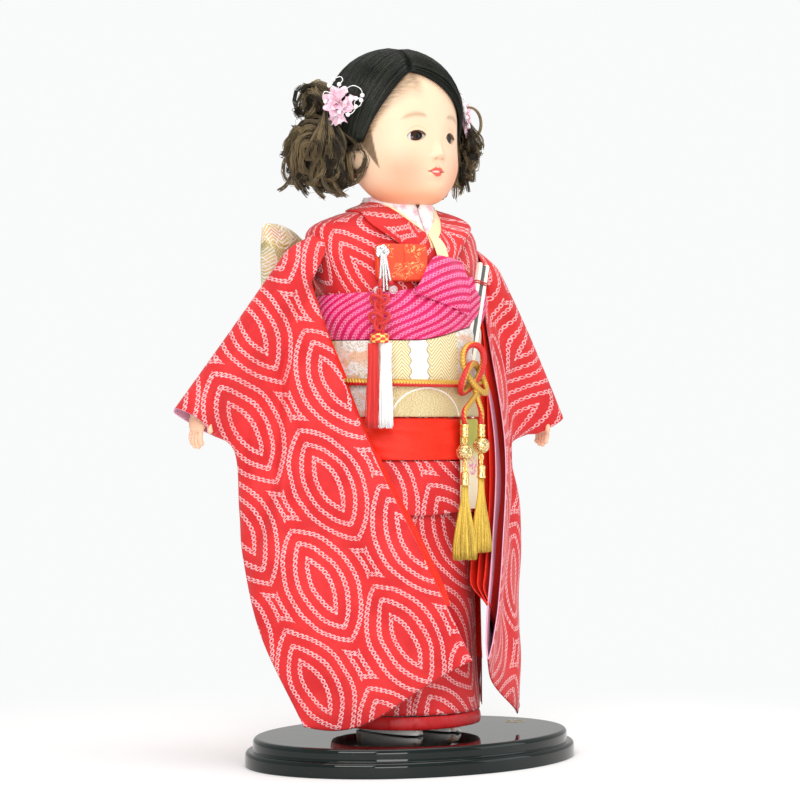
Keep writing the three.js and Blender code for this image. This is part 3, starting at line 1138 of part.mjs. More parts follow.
const flowerRoom = welded(new THREE.CylinderGeometry(1, 1, 1, 14)
  .rotateX(Math.PI / 2)
  .translate(0, 0, 0.5)
  .scale(2 * FLOWER_RADIUS, 2 * FLOWER_RADIUS, 3 * FLOWER_RADIUS)
  .translate(0, 0, -FLOWER_BACK)
  .applyQuaternion(flowerTurn)
  .translate(flowerSpot.x, flowerSpot.y, flowerSpot.z));
const bunch = cut(bunchBlank, capRoom, headRoom, flowerRoom);
const flowerTrim = cut(flower, capRoom);
for (const [side, turned] of [["right", (g) => g], ["left", mirrored]]) {
  add(headGroup, `${side}_bunch`, turned(bunch), BROWN_HAIR);
  add(headGroup, `${side}_flower`, turned(flowerTrim), PINK_FLOWER);
}

export default doll;
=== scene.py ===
import math

import bpy
import numpy as np
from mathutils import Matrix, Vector


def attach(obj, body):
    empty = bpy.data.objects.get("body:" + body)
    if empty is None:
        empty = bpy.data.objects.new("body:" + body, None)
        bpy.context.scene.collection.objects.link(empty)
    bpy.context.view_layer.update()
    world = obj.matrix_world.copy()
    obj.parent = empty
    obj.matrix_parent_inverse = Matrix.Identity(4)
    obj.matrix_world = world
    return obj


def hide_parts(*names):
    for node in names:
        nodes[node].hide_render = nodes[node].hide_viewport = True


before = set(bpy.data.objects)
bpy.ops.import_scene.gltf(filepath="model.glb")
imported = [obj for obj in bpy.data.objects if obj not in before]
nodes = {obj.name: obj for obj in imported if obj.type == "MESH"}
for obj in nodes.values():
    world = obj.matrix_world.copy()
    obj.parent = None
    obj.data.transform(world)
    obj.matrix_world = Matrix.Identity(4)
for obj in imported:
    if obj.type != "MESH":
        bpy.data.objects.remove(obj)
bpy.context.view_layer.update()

# Stage
# A white studio: the floor is shaded near the doll and runs out into the plain background,
# with one large soft key from the front left, a broad top light, a weak fill and a low light for the feet.
# The camera's focal length and shift are in pixels of the photograph, the sensor's width in mm.

BACKDROP = (0.95, 0.957, 0.957)


class Bench:
    """Holds the shader tree that is being built and its end: the Principled shader or a group's output."""
    tree = end = None


def put(kind, sockets=None, **settings):
    """Adds a shader node: settings are its own properties, sockets are values or links for its inputs."""
    made = Bench.tree.nodes.new("ShaderNode" + kind)
    for key, value in settings.items():
        setattr(made, key, value)
    for key, value in (sockets or {}).items():
        socket = made.inputs[key]
        if isinstance(value, bpy.types.NodeSocket):
            Bench.tree.links.new(value, socket)
        else:
            socket.default_value = (*value, 1) if socket.type == "RGBA" else value
    return made


def math_of(operation, *values):
    """One Math node's output; the values are numbers or links."""
    return put("Math", dict(enumerate(values)), operation=operation).outputs[0]


def times(a, b):
    """The product of two numbers or links."""
    return math_of("MULTIPLY", a, b)


def noise(place, scale, detail, distortion=0.0):
    """Soft noise from 0 to 1 at a place."""
    sockets = {"Vector": place, "Scale": scale, "Detail": detail, "Distortion": distortion}
    return put("TexNoise", sockets).outputs["Fac"]


def at_object():
    """The place on a piece in the shared frame, in metres."""
    return put("TexCoord").outputs["Object"]


floor_mesh = bpy.data.meshes.new("floor")
floor_mesh.from_pydata([(-9, -9, 0), (9, -9, 0), (9, 9, 0), (-9, 9, 0)], [], [(0, 1, 2, 3)])
floor = bpy.data.objects.new("floor", floor_mesh)
bpy.context.collection.objects.link(floor)
floor_paint = bpy.data.materials.new("floor_paint")
floor_paint.use_nodes = True
Bench.tree = floor_paint.node_tree
Bench.tree.nodes.clear()
place = at_object()
away = put("VectorMath", {0: place}, operation="LENGTH").outputs["Value"]
grain = noise(place, 60, 3)
rough = put("MapRange", {"Value": grain, "To Min": 0.5, "To Max": 0.62}).outputs["Result"]
fade = put("MapRange", {"Value": away, "From Min": 0.14, "From Max": 0.5}, interpolation_type="SMOOTHSTEP")
seen = put("LightPath").outputs["Is Camera Ray"]
lit = put("BsdfPrincipled", {"Base Color": (0.9, 0.905, 0.905), "Roughness": rough,
    "Specular IOR Level": 0.2})
plain = put("Emission", {"Color": BACKDROP})
both = put("MixShader", {0: times(fade.outputs["Result"], seen), 1: lit.outputs[0], 2: plain.outputs[0]})
put("OutputMaterial", {"Surface": both.outputs[0]})
floor_mesh.materials.append(floor_paint)

world = bpy.data.worlds.new("studio")
bpy.context.scene.world = world
world.use_nodes = True
Bench.tree = world.node_tree
Bench.tree.nodes.clear()
seen = put("LightPath").outputs["Is Camera Ray"]
around = put("Background", {"Color": (1.0, 0.99, 0.98), "Strength": 0.62})
behind = put("Background", {"Color": BACKDROP, "Strength": 1.0})
both = put("MixShader", {0: seen, 1: around.outputs[0], 2: behind.outputs[0]})
put("OutputWorld", {"Surface": both.outputs[0]})


def soft_light(name, place, aim, size, watts, colour):
    """A square area light at place that looks at aim."""
    data = bpy.data.lights.new(name, "AREA")
    data.shape, data.size, data.energy, data.color = "SQUARE", size, watts, colour
    lamp = bpy.data.objects.new(name, data)
    lamp.location = place
    lamp.rotation_euler = (Vector(aim) - Vector(place)).to_track_quat("-Z", "Y").to_euler()
    bpy.context.collection.objects.link(lamp)


soft_light("key", (-1.5, -1.3, 1.35), (0, 0, 0.24), 1.1, 26, (1.0, 0.985, 0.96))
soft_light("top", (0.1, -0.2, 1.9), (0, 0, 0.2), 1.6, 20, (1.0, 1.0, 1.0))
soft_light("fill", (1.5, -1.5, 0.7), (0, 0, 0.22), 1.2, 7, (0.97, 0.985, 1.0))
soft_light("low", (-0.7, -1.6, 0.14), (0, 0, 0.05), 0.6, 9, (1.0, 0.99, 0.98))

VIEW_TURN, VIEW_AWAY, VIEW_HIGH, AIM_HIGH = math.radians(40), 1.6, 0.2025, 0.2165
SENSOR, PICTURE, FOCAL, ASIDE = 36, 800, 2647, -12.3
camera_data = bpy.data.cameras.new("camera")
camera_data.sensor_width = SENSOR
camera_data.lens = SENSOR * FOCAL / PICTURE
camera_data.shift_x = ASIDE / PICTURE
camera = bpy.data.objects.new("camera", camera_data)
camera.location = (-math.sin(VIEW_TURN) * VIEW_AWAY, -math.cos(VIEW_TURN) * VIEW_AWAY, VIEW_HIGH)
camera.rotation_euler = (Vector((0, 0, AIM_HIGH)) - camera.location).to_track_quat("-Z", "Y").to_euler()
bpy.context.collection.objects.link(camera)
bpy.context.scene.camera = camera
bpy.context.scene.view_settings.view_transform = "Standard"

# Stand
# A turned oval board in two tiers, black lacquer polished to a mirror, with a thin gilt ring
# let into the top at one end. Two plain pegs stand in it for the feet.


def surface(name, points, uv=None, close_u=False, close_v=False, flip=False):
    """A mesh object in metres from patches of points, shaped (patch, u, v, 3) or (u, v, 3).

    Neighbouring points make quads, and close_u or close_v joins the last row or column to the first.
    uv has two numbers per point, with one more row or column where the patch closes."""
    points = np.asarray(points, float)
    points = points[None] if points.ndim == 3 else points
    count, rows, columns, _ = points.shape
    i, j = np.meshgrid(np.arange(rows - 1 + close_u), np.arange(columns - 1 + close_v), indexing="ij")
    corners = [(i, j), (i + 1, j), (i + 1, j + 1), (i, j + 1)]
    corners = corners[::-1] if flip else corners
    quads = np.stack([(a % rows) * columns + b % columns for a, b in corners], -1).reshape(1, -1, 4)
    quads = (quads + (np.arange(count) * rows * columns)[:, None, None]).reshape(-1, 4)
    mesh = bpy.data.meshes.new(name)
    mesh.vertices.add(count * rows * columns)
    mesh.vertices.foreach_set("co", points.astype(np.float32).ravel())
    mesh.loops.add(quads.size)
    mesh.loops.foreach_set("vertex_index", quads.astype(np.int32).ravel())
    mesh.polygons.add(len(quads))
    mesh.polygons.foreach_set("loop_start", np.arange(0, quads.size, 4, dtype=np.int32))
    mesh.polygons.foreach_set("use_smooth", np.ones(len(quads), dtype=bool))
    if uv is not None:
        uv = np.asarray(uv, float)
        uv = uv[None] if uv.ndim == 3 else uv
        uv = np.broadcast_to(uv, (count,) + uv.shape[1:])
        layer = mesh.uv_layers.new(name="UVMap")
        loops = np.stack([uv[:, a, b] for a, b in corners], -2)
        layer.data.foreach_set("uv", loops.reshape(-1).astype(np.float32))
    mesh.update(calc_edges=True)
    mesh.validate()
    made = bpy.data.objects.new(name, mesh)
    bpy.context.collection.objects.link(made)
    return made


def attribute(piece, name, values):
    """Stores one number per point of a piece, for its material to read."""
    layer = piece.data.attributes.get(name) or piece.data.attributes.new(name, "FLOAT", "POINT")
    layer.data.foreach_set("value", np.asarray(values, np.float32).ravel())


def wear(piece, paint, body, slot, *replaced):
    """Gives a piece its material, the body that it moves with and its CAD nodes; slot, the name of its
    finish, is not used.
    """
    piece.data.materials.append(paint)
    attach(piece, body)
    if replaced:
        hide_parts(*replaced)
    return piece


def painted(name, **values):
    """A new material, whose tree goes on the bench; the values are set on its Principled shader."""
    made = bpy.data.materials.new(name)
    made.use_nodes = True
    Bench.tree = made.node_tree
    Bench.tree.nodes.clear()
    Bench.end = put("BsdfPrincipled", {key.replace("_", " "): value for key, value in values.items()})
    put("OutputMaterial", {"Surface": Bench.end.outputs[0]})
    return made


def feed(**links):
    """Links values to the sockets of the end of the tree that is being built."""
    for key, value in links.items():
        Bench.tree.links.new(value, Bench.end.inputs[key.replace("_", " ")])


def bumped(height, strength, distance):
    """Lets a height in the material tilt the shader's normal."""
    feed(Normal=put("Bump", {"Height": height, "Strength": strength, "Distance": distance}).outputs[0])


def blended(factor, a, b):
    """A colour between a and b; each is a colour or a link."""
    return put("Mix", {0: factor, 6: a, 7: b}, data_type="RGBA").outputs[2]


def ramp(value, low, high, to_low=0.0, to_high=1.0):
    """A smooth step of a value between low and high."""
    sockets = {"Value": value, "From Min": low, "From Max": high, "To Min": to_low, "To Max": to_high}
    return put("MapRange", sockets, interpolation_type="SMOOTHSTEP").outputs["Result"]


def mottled(name, scale, detail, dark, light, rough=None, bump=None, **values):
    """A material whose colour, and if asked its gloss or relief, follow one noise in the frame."""
    made = painted(name, **values)
    spots = noise(at_object(), scale, detail)
    feed(Base_Color=blended(spots, dark, light))
    if rough:
        feed(Roughness=ramp(spots, 0.2, 0.8, *rough))
    if bump:
        bumped(spots, *bump)
    return made


def mask(name):
    """A number that the mesh carries at each point."""
    return put("Attribute", attribute_name=name).outputs["Fac"]


def at_uv():
    """The place on a piece in its own UV, in mm."""
    return put("UVMap", uv_map="UVMap").outputs[0]


def split(place):
    """The three numbers of a place."""
    return put("SeparateXYZ", {0: place}).outputs


def circle(count):
    """Angles in even steps once round."""
    return 2 * np.pi * np.arange(count) / count


def stacked(*values):
    """Arrays of numbers as one array whose last axis runs over them."""
    return np.stack(np.broadcast_arrays(*values), -1)


def closed(uv):
    """UV with its first column once more at the end, for a patch that closes."""
    return np.concatenate([uv, uv[:, :1]], 1)


def bent(value, power):
    """A power that keeps the value's sign."""
    return np.sign(value) * np.abs(value) ** power


BOARD_SQUASH = 163 / 220
corner = np.linspace(0, np.pi / 2, 9)
board_out = np.concatenate([
    [0, 0.06, 0.1085], 0.1094 + 0.0006 * np.sin(corner[::4]), [0.11, 0.11],
    0.11 - 0.0026 + 0.0026 * np.cos(corner), [0.1056],
    0.105 + 0.0006 * (1 - np.sin(corner[::4])), [0.105, 0.105],
    0.105 - 0.0028 + 0.0028 * np.cos(corner), [0.1005, 0.07, 0.03, 0.0],
])
board_up = np.concatenate([
    [0, 0, 0], 0.0006 - 0.0006 * np.cos(corner[::4]), [0.0024, 0.0048],
    0.009 - 0.0026 + 0.0026 * np.sin(corner), [0.009],
    0.009 + 0.0006 * (1 - np.cos(corner[::4])), [0.0112, 0.0128],
    0.0165 - 0.0028 + 0.0028 * np.sin(corner), [0.0165, 0.0165, 0.0165, 0.0165],
])
turn = circle(192)
out, up = board_out[:, None], board_up[:, None]
board_points = stacked(out * np.cos(turn), out * BOARD_SQUASH * np.sin(turn), up)
board = surface("board", board_points, close_v=True, flip=True)
lacquer = painted("black_lacquer", Roughness=0.04, Specular_IOR_Level=0.34, IOR=1.5)
place = at_object()
wave = noise(place, 26, 2)
speck = noise(place, 900, 1)
tint = blended(ramp(wave, 0.35, 0.7), (0.001, 0.005, 0.004), (0.003, 0.009, 0.008))
tint = blended(ramp(speck, 0.74, 0.8), tint, (0.05, 0.06, 0.06))
feed(Base_Color=tint)
bumped(wave, 0.05, 0.002)
wear(board, lacquer, "stand", "lacquer", "stand")

ring_turn = circle(64)
ring_section = np.array([(0.0052, 0.01652), (0.0054, 0.01672), (0.0062, 0.01674), (0.0065, 0.01652)])
ring_r, ring_z = ring_section[:, :1], ring_section[:, 1:]
ring_points = stacked(0.083 + ring_r * np.cos(ring_turn), ring_r * np.sin(ring_turn), ring_z)
mark = surface("board_ring", ring_points, close_v=True, flip=True)
gilt = mottled("dull_gilt", 700, 4, (0.42, 0.34, 0.2), (0.7, 0.6, 0.38), rough=(0.25, 0.5), Metallic=1.0)
wear(mark, gilt, "stand", "gold")

bare_wood = painted("carved_wood", Roughness=0.65)
place = at_object()
stretch = put("Mapping", {"Vector": place, "Scale": (60, 60, 6)}).outputs[0]
rings = noise(stretch, 3, 6, 0.6)
feed(Base_Color=blended(rings, (0.42, 0.27, 0.14), (0.72, 0.53, 0.32)))
bumped(rings, 0.3, 0.0006)
drawn_steel = mottled("drawn_steel", 420, 5, (0.3, 0.3, 0.3), (0.55, 0.55, 0.53), rough=(0.28, 0.5),
    Metallic=1.0)


def finish_node(name, paint):
    """Gives a CAD node that stays in view as it is a better material."""
    nodes[name].data.materials.clear()
    nodes[name].data.materials.append(paint)


for name in ("right_stand_peg", "left_stand_peg", "body_core", "neck_peg"):
    finish_node(name, bare_wood)
for name in ("right_shoulder_pin", "left_shoulder_pin", "right_arm_wire", "left_arm_wire"):
    finish_node(name, drawn_steel)

# Legs and socks
# Moulded legs end in white cotton tabi with a split toe; only a sliver of them shows under the hem.


def mix(a, b, t):
    """The value a share t of the way from a to b."""
    return a + (b - a) * t


def ease(value, low, high):
    """A smooth step: 0 up to low, 1 from high on."""
    t = np.clip((np.asarray(value, float) - low) / (high - low), 0, 1)
    return t * t * (3 - 2 * t)


FIGURE_BACK, BOARD_TOP = 12, 16.5


def figure(x, y, z):
    """Points given in mm over the board and round the figure's middle, in the shared frame."""
    return stacked(x, np.asarray(y) + FIGURE_BACK, np.asarray(z) + BOARD_TOP) / 1000


def grid(rows, columns, close_columns=False):
    """Two parameters from 0 to 1 as a column and a row that broadcast to a grid."""
    across = np.arange(columns) / columns if close_columns else np.linspace(0, 1, columns)
    return np.linspace(0, 1, rows)[:, None], across[None, :]


def girth(rows, columns, start=-np.pi):
    """A share up a piece as a column, and the angle once round it, from the start on, as a row."""
    up, around = grid(rows, columns, True)
    return up, 2 * np.pi * around + start


plain_skin = mottled("moulded_skin", 90, 3, (0.8, 0.5, 0.36), (0.88, 0.6, 0.46), Roughness=0.42)
for name in ("right_leg", "left_leg"):
    finish_node(name, plain_skin)

white_cotton = painted("white_cotton", Roughness=0.85, Sheen_Weight=0.3)
place = at_object()
weave = noise(place, 1600, 2)
cloud = noise(place, 60, 2)
feed(Base_Color=blended(cloud, (0.9, 0.89, 0.87), (0.95, 0.94, 0.93)))
bumped(weave, 0.25, 0.0003)

t, a = girth(56, 48, 0)
t = mix(0.0005, 0.9995, 0.5 - 0.5 * np.cos(np.pi * t))
foot_half = 9.5 * np.sin(np.pi * t) ** 0.34 * mix(0.84, 1.0, ease(t, 0.1, 0.8))
foot_high = mix(24, 9, ease(t, 0.25, 0.95)) * np.sin(np.pi * t) ** 0.4
foot_rise = np.where(np.sin(a) > 0, np.sin(a), 0.06 * np.sin(a))
for side, name in ((-1, "right_tabi"), (1, "left_tabi")):
    foot_x = foot_half * np.cos(a)
    toe_split = 5 * np.exp(-((foot_x + side * 2.6) / 0.9) ** 2) * ease(t, 0.82, 1)
    sock = figure(side * 15 + foot_x, mix(20.6, -36.6, t) + toe_split, 0.9 + foot_high * foot_rise)
    shin_t, shin_a = girth(56, 48, 0)
    shin = figure(side * 15 + 10.1 * np.cos(shin_a), 6 + 10.1 * np.sin(shin_a),
                  mix(8, 34, shin_t) + 0 * shin_a)
    tabi = surface(name + "_cloth", np.stack([sock, shin]), close_v=True, flip=True)
    wear(tabi, white_cotton, "figure", "white_cloth", name)

# Body under the clothes
# A carved core, a roll of cotton wadding round the thighs and a scarlet under-kimono.

OVALS = np.array([(-5, 47, 41, -6), (5, 47, 41, -6), (49.8, 45.3, 40.2, -3.9), (94.6, 45.65, 40.85, -1.8),
    (133, 46.5, 41.5, 0), (178, 46.5, 40, 0), (229, 48.4, 39.4, 1.2), (263, 53, 39, 2),
    (285.2, 61.4, 35.9, 5.6), (300, 62, 33, 8), (306.1, 57, 28.5, 6.25), (312.3, 38, 23.4, 4.5),
    (317.5, 20, 20, 3), (329.5, 18, 18, 3), (345, 18, 18, 3)])
oval_z = np.linspace(-5, 345, 1401)
oval_fit = []
for k in (1, 2, 3):
    raw = np.interp(oval_z, OVALS[:, 0], OVALS[:, k])
    for width in (13, 9):
        raw = np.convolve(np.pad(raw, width, "edge"), np.full(2 * width + 1, 1 / (2 * width + 1)), "valid")
    oval_fit.append(raw)


def body(angle, z, grow):
    """A point round the dressed body: angle 0 is the front and grows to the doll's left."""
    wide, deep, back = (np.interp(z, oval_z, fit) for fit in oval_fit)
    return figure((wide + grow) * np.sin(angle), back - (deep + grow) * np.cos(angle), z)


ROUND = 45.0


def wrapped(name, angle, z, grow, close_u=False, close_v=True, flip=True):
    """A piece of cloth round the body; its UV is the angle times a mean radius and the height, in mm."""
    angle, z, grow = np.broadcast_arrays(angle, z, grow)
    points = body(angle, z, grow)
    uv = np.stack([angle * ROUND, z], -1)
    if close_v:
        seam = uv[:, :1].copy()
        seam[..., 0] += 2 * np.pi * ROUND
        uv = np.concatenate([uv, seam], 1)
    if close_u:
        uv = np.concatenate([uv, uv[:1]], 0)
    return surface(name, points, uv, close_u, close_v, flip)


def thick(piece, millimetres, lining=False):
    """Gives a sheet of cloth its thickness, inward; a lining takes the piece's second material."""
    made = piece.modifiers.new("cloth", "SOLIDIFY")
    made.thickness = millimetres / 1000
    made.offset = -1
    made.use_rim = True
    if lining:
        made.material_offset = 1
        made.material_offset_rim = 1
    return piece


loop, a = circle(24)[:, None], circle(64)[None, :] - np.pi
pad_z = 84 + 47 * bent(np.sin(loop), 0.5)
wadding = wrapped("hip_wadding_cloth", a, pad_z, -9 + 3 * np.cos(loop) + 0.3 * np.sin(6 * a), True)
wear(wadding, white_cotton, "figure", "cotton", "hip_wadding")

scarlet_silk = painted("scarlet_silk", Roughness=0.45, Sheen_Weight=0.03, Specular_IOR_Level=0.25)
place = at_object()
thread = put("Mapping", {"Vector": place, "Scale": (1, 1, 9)}).outputs[0]
weft = noise(thread, 420, 2)
cloud = noise(place, 45, 2)
crimson = blended(cloud, (0.72, 0.012, 0.003), (0.84, 0.02, 0.005))
# The weft streaks are the thread's own texture in the bump; their lighter colour is painted sheen.
feed(Base_Color=blended(ramp(weft, 0.3, 0.8, 0, 0.35), crimson, (0.95, 0.055, 0.014)))
bumped(weft, 0.25, 0.0004)
t, a = girth(40, 72)
slip = wrapped("under_kimono_cloth", a, mix(17, 300, t), -2.6 + 0.25 * np.sin(5 * a))
wear(thick(slip, 0.7), scarlet_silk, "figure", "scarlet_silk", "under_kimono")

# Kimono
# Silk tied and dyed in kanoko: rows of small pale squares, each with a red middle, run in nested
# leaf outlines over a vermilion ground. The left front laps over the right.


def group(name, *outputs):
    """A new shader group and the place that it is given; only an output named Color is a colour."""
    Bench.tree = made = bpy.data.node_groups.new(name, "ShaderNodeTree")
    made.interface.new_socket("Place", in_out="INPUT", socket_type="NodeSocketVector")
    for label in outputs:
        kind = "NodeSocketColor" if label == "Color" else "NodeSocketFloat"
        made.interface.new_socket(label, in_out="OUTPUT", socket_type=kind)
    Bench.end = made.nodes.new("NodeGroupOutput")
    return made, made.nodes.new("NodeGroupInput").outputs["Place"]


def use(shared, place):
    """Puts a shared group into a material."""
    return put("Group", node_tree=shared, sockets={"Place": place}).outputs


LEAF_WIDE, LEAF_TALL = 101.0, 59.0
LEAF_TURN = math.radians(3.5)
LEAF_CENTRE = 23.6
LEAF_FIRST, LEAF_STEP = 29.2, 7.1
KNOT_STEP = 2.85
leaf_ties, place = group("leaf_ties", "Ring", "Height")
drift = put("TexNoise", {"Vector": place, "Scale": 0.045, "Detail": 1}).outputs["Color"]
drift = put("VectorMath", {0: drift, 1: (0.5, 0.5, 0.5)}, operation="SUBTRACT").outputs[0]
moved = put("VectorMath", {0: drift, 1: (3.4, 3.4, 0), 2: place}, operation="MULTIPLY_ADD")
turned = put("VectorRotate", {"Vector": moved.outputs[0], "Angle": LEAF_TURN}, rotation_type="Z_AXIS")
apart = split(turned.outputs[0])
far = arc = None
for shift_x, shift_y in ((0, 0), (LEAF_WIDE / 2, LEAF_TALL / 2)):
    px = math_of("WRAP", math_of("ADD", apart[0], shift_x), LEAF_WIDE / 2, -LEAF_WIDE / 2)
    own = math_of("WRAP", math_of("ADD", apart[1], shift_y), LEAF_TALL / 2, -LEAF_TALL / 2)
    next_leaf = math_of("MULTIPLY_ADD", math_of("SIGN", own), -LEAF_TALL, own)
    for py in (own, next_leaf):
        along = math_of("MULTIPLY_ADD", px, -0.545, times(py, 0.839))
        over = math_of("MULTIPLY_ADD", px, 0.839, times(py, 0.545))
        over = math_of("ADD", math_of("ABSOLUTE", over), LEAF_CENTRE)
        this = math_of("MULTIPLY_ADD", over, over, times(along, along))
        this = math_of("SQRT", this)
        turn = times(this, math_of("ARCTAN2", along, over))
        if far is None:
            far, arc = this, turn
            continue
        nearer = math_of("LESS_THAN", this, far)
        arc = put("Mix", {0: nearer, 2: arc, 3: turn}, data_type="FLOAT").outputs[0]
        far = math_of("MINIMUM", this, far)
out = math_of("WRAP", math_of("SUBTRACT", far, LEAF_FIRST), LEAF_STEP / 2, -LEAF_STEP / 2)
on = math_of("WRAP", arc, KNOT_STEP / 2, -KNOT_STEP / 2)
square = math_of("ADD", math_of("POWER", math_of("ABSOLUTE", out), 2.6),
                 math_of("POWER", math_of("ABSOLUTE", on), 2.6))
square = math_of("POWER", square, 1 / 2.6)
fray = noise(place, 0.9, 2)
square = math_of("MULTIPLY_ADD", math_of("SUBTRACT", fray, 0.5), 0.55, square)
ring = times(ramp(square, 1.42, 1.2), ramp(square, 0.58, 0.82))
worn = noise(place, 0.4, 2)
ring = times(ring, ramp(worn, 0.28, 0.55, 0.55, 1.0))
feed(Ring=ring, Height=ramp(square, 1.6, 0.1))

crepe, place = group("crepe", "Tone", "Height")
fine = noise(place, 1.6, 3)
broad = noise(place, 0.05, 2)
pulled = noise(place, 0.22, 3)
feed(Tone=broad, Height=math_of("MULTIPLY_ADD", fine, 0.35, times(pulled, 1.2)))


def tied_silk(name, ground, deep, pale):
    """Kanoko silk in the piece's own UV, in mm: pale rings on a ground that is clouded with a deeper tone."""
    made = painted(name, Roughness=0.6, Sheen_Weight=0.12, Specular_IOR_Level=0.25)
    place = at_uv()
    ties = use(leaf_ties, place)
    cloth = use(crepe, place)
    colour = blended(ramp(cloth["Tone"], 0.3, 0.75), ground, deep)
    feed(Base_Color=blended(times(ties["Ring"], 0.9), colour, pale))
    height = math_of("MULTIPLY_ADD", ties["Height"], 0.8, times(cloth["Height"], 0.5))
    bumped(height, 0.55, 0.0009)
    return made


KIMONO_GROUND, KIMONO_DEEP, KIMONO_PALE = (0.64, 0.022, 0.024), (0.52, 0.01, 0.014), (0.86, 0.5, 0.52)
tied_kimono = tied_silk("tied_kimono_silk", KIMONO_GROUND, KIMONO_DEEP, KIMONO_PALE)


def collar_edges(turn):
    """The outer collar's lower and upper edge: the turn is 0 at the nape and pi where the fronts cross."""
    t = np.abs(turn) / np.pi
    front = np.clip((t - 0.5) / 0.5, 0, 1.05)
    nape = 1 - ease(t, 0, 0.5)
    high = 319.5 - 20 * front ** 2.2 - 6 * ease(turn, 1.5, 3.0) + 2 * nape
    return 314 - np.minimum(3 * front + 45 * front ** 3.2, 33) + 3 * nape, high


t, a = girth(130, 200)
top = collar_edges(np.pi - np.abs(a))[0] + 2.5
lap = (a + 0.5) % (2 * np.pi)
step = 1.4 * (1 - ease(lap, 0.02, 2.4)) * ease(lap, 0, 0.02)
z = mix(13.4, top, t)
robe_fold = (0.5 * np.sin(7 * a + 0.6) + 0.35 * np.sin(13 * a + 2)) * (1 - ease(z, 60, 128))
robe_fold = robe_fold - 0.9 * np.exp(-((lap - 2 * np.pi + 0.02) / 0.05) ** 2)
robe = wrapped("kimono_cloth", a, z, step * (1 - ease(z, 93, 126)) + 0.4 * robe_fold)
wear(thick(robe, 0.9, True), tied_kimono, "figure", "kimono_silk", "kimono")
robe.data.materials.append(scarlet_silk)

# Hem roll
# The lining turned out under the skirt as a padded roll of plain red satin.

t, a = circle(28)[:, None], circle(220)[None, :] - np.pi
lap = (a + 0.5) % (2 * np.pi)
step = 0.85 * (1 - ease(lap, 0.02, 2.4)) * ease(lap, 0, 0.02)
hem_z = 8.9 + 3.9 * np.sin(t) + 0.25 * np.sin(3 * a)
hem_grow = -0.55 + step + 1.35 * np.cos(t) + 0.12 * np.sin(17 * a + 2 * np.cos(t)) + 0.1 * np.sin(29 * a)
satin = painted("red_satin", Roughness=0.42, Sheen_Weight=0.05, Specular_IOR_Level=0.35)
place = at_uv()
pucker = put("Mapping", {"Vector": place, "Scale": (1, 0.25, 1)}).outputs[0]
pucker = noise(pucker, 0.5, 3)
feed(Base_Color=blended(pucker, (0.36, 0.003, 0.006), (0.58, 0.012, 0.014)))
bumped(pucker, 0.5, 0.001)
hem = wrapped("hem_roll_cloth", a, hem_z, hem_grow, True)
wear(hem, satin, "figure", "scarlet_silk", "hem_roll")

# Waist tuck
# The spare length of the kimono folded down over the hips, its lower edge a soft fold.

t, a = girth(38, 200)
tuck_low = 131.6 + 0.7 * np.sin(2 * a + 0.7) + 0.4 * np.sin(5 * a)
tuck_z = np.where(t < 0.66, mix(163.3, tuck_low, np.sin(np.pi / 2 * np.clip(t / 0.66, 0, 1))),
                  mix(tuck_low, 146, np.clip((t - 0.66) / 0.34, 0, 1) ** 1.5))
tuck_grow = np.where(t < 0.66, mix(2.2, 3.5, ease(t, 0, 0.3)) - 0.75 * ease(t, 0.56, 0.66),
                     mix(2.75, 1.75, ease(t, 0.66, 0.8)))
tuck_grow = tuck_grow + 0.22 * np.sin(9 * a + 0.05 * tuck_z) * ease(t, 0, 0.2) * (1 - ease(t, 0.6, 0.7))
tuck = wrapped("waist_tuck_cloth", a, tuck_z, tuck_grow, flip=False)
wear(thick(tuck, 0.5, True), tied_kimono, "figure", "kimono_silk", "waist_tuck")
tuck.data.materials.append(scarlet_silk)

# Sash
# A plain scarlet sash wound twice below the obi; the lower turn lies over the upper one in a straight fold.

loop = circle(64)[:, None]
a = circle(220)[None, :] - np.pi
across = bent(np.cos(loop), 0.45)
sash_z = 176.6 + 12.5 * bent(np.sin(loop), 0.8)
sash_seam = 181.2 + 0.5 * np.sin(3 * a) + 0.3 * np.sin(8 * a + 1)
outer = np.where(across > 0, 1.0, 0.0)
sash_grow = 2.05 + 1.45 * across - outer * 0.75 * ease(sash_z, sash_seam - 0.2, sash_seam + 0.5)
crease = 0.16 * np.sin(0.9 * sash_z + 6 * np.sin(a + 0.4)) + 0.14 * np.sin(11 * a + 0.4 * sash_z)
sash = wrapped("sash_cloth", a, sash_z, sash_grow + outer * crease, True)
wear(sash, scarlet_silk, "figure", "scarlet_silk", "sash")

# Sash tail
# The sash's loose end hangs at the doll's left with a twisted fringe.


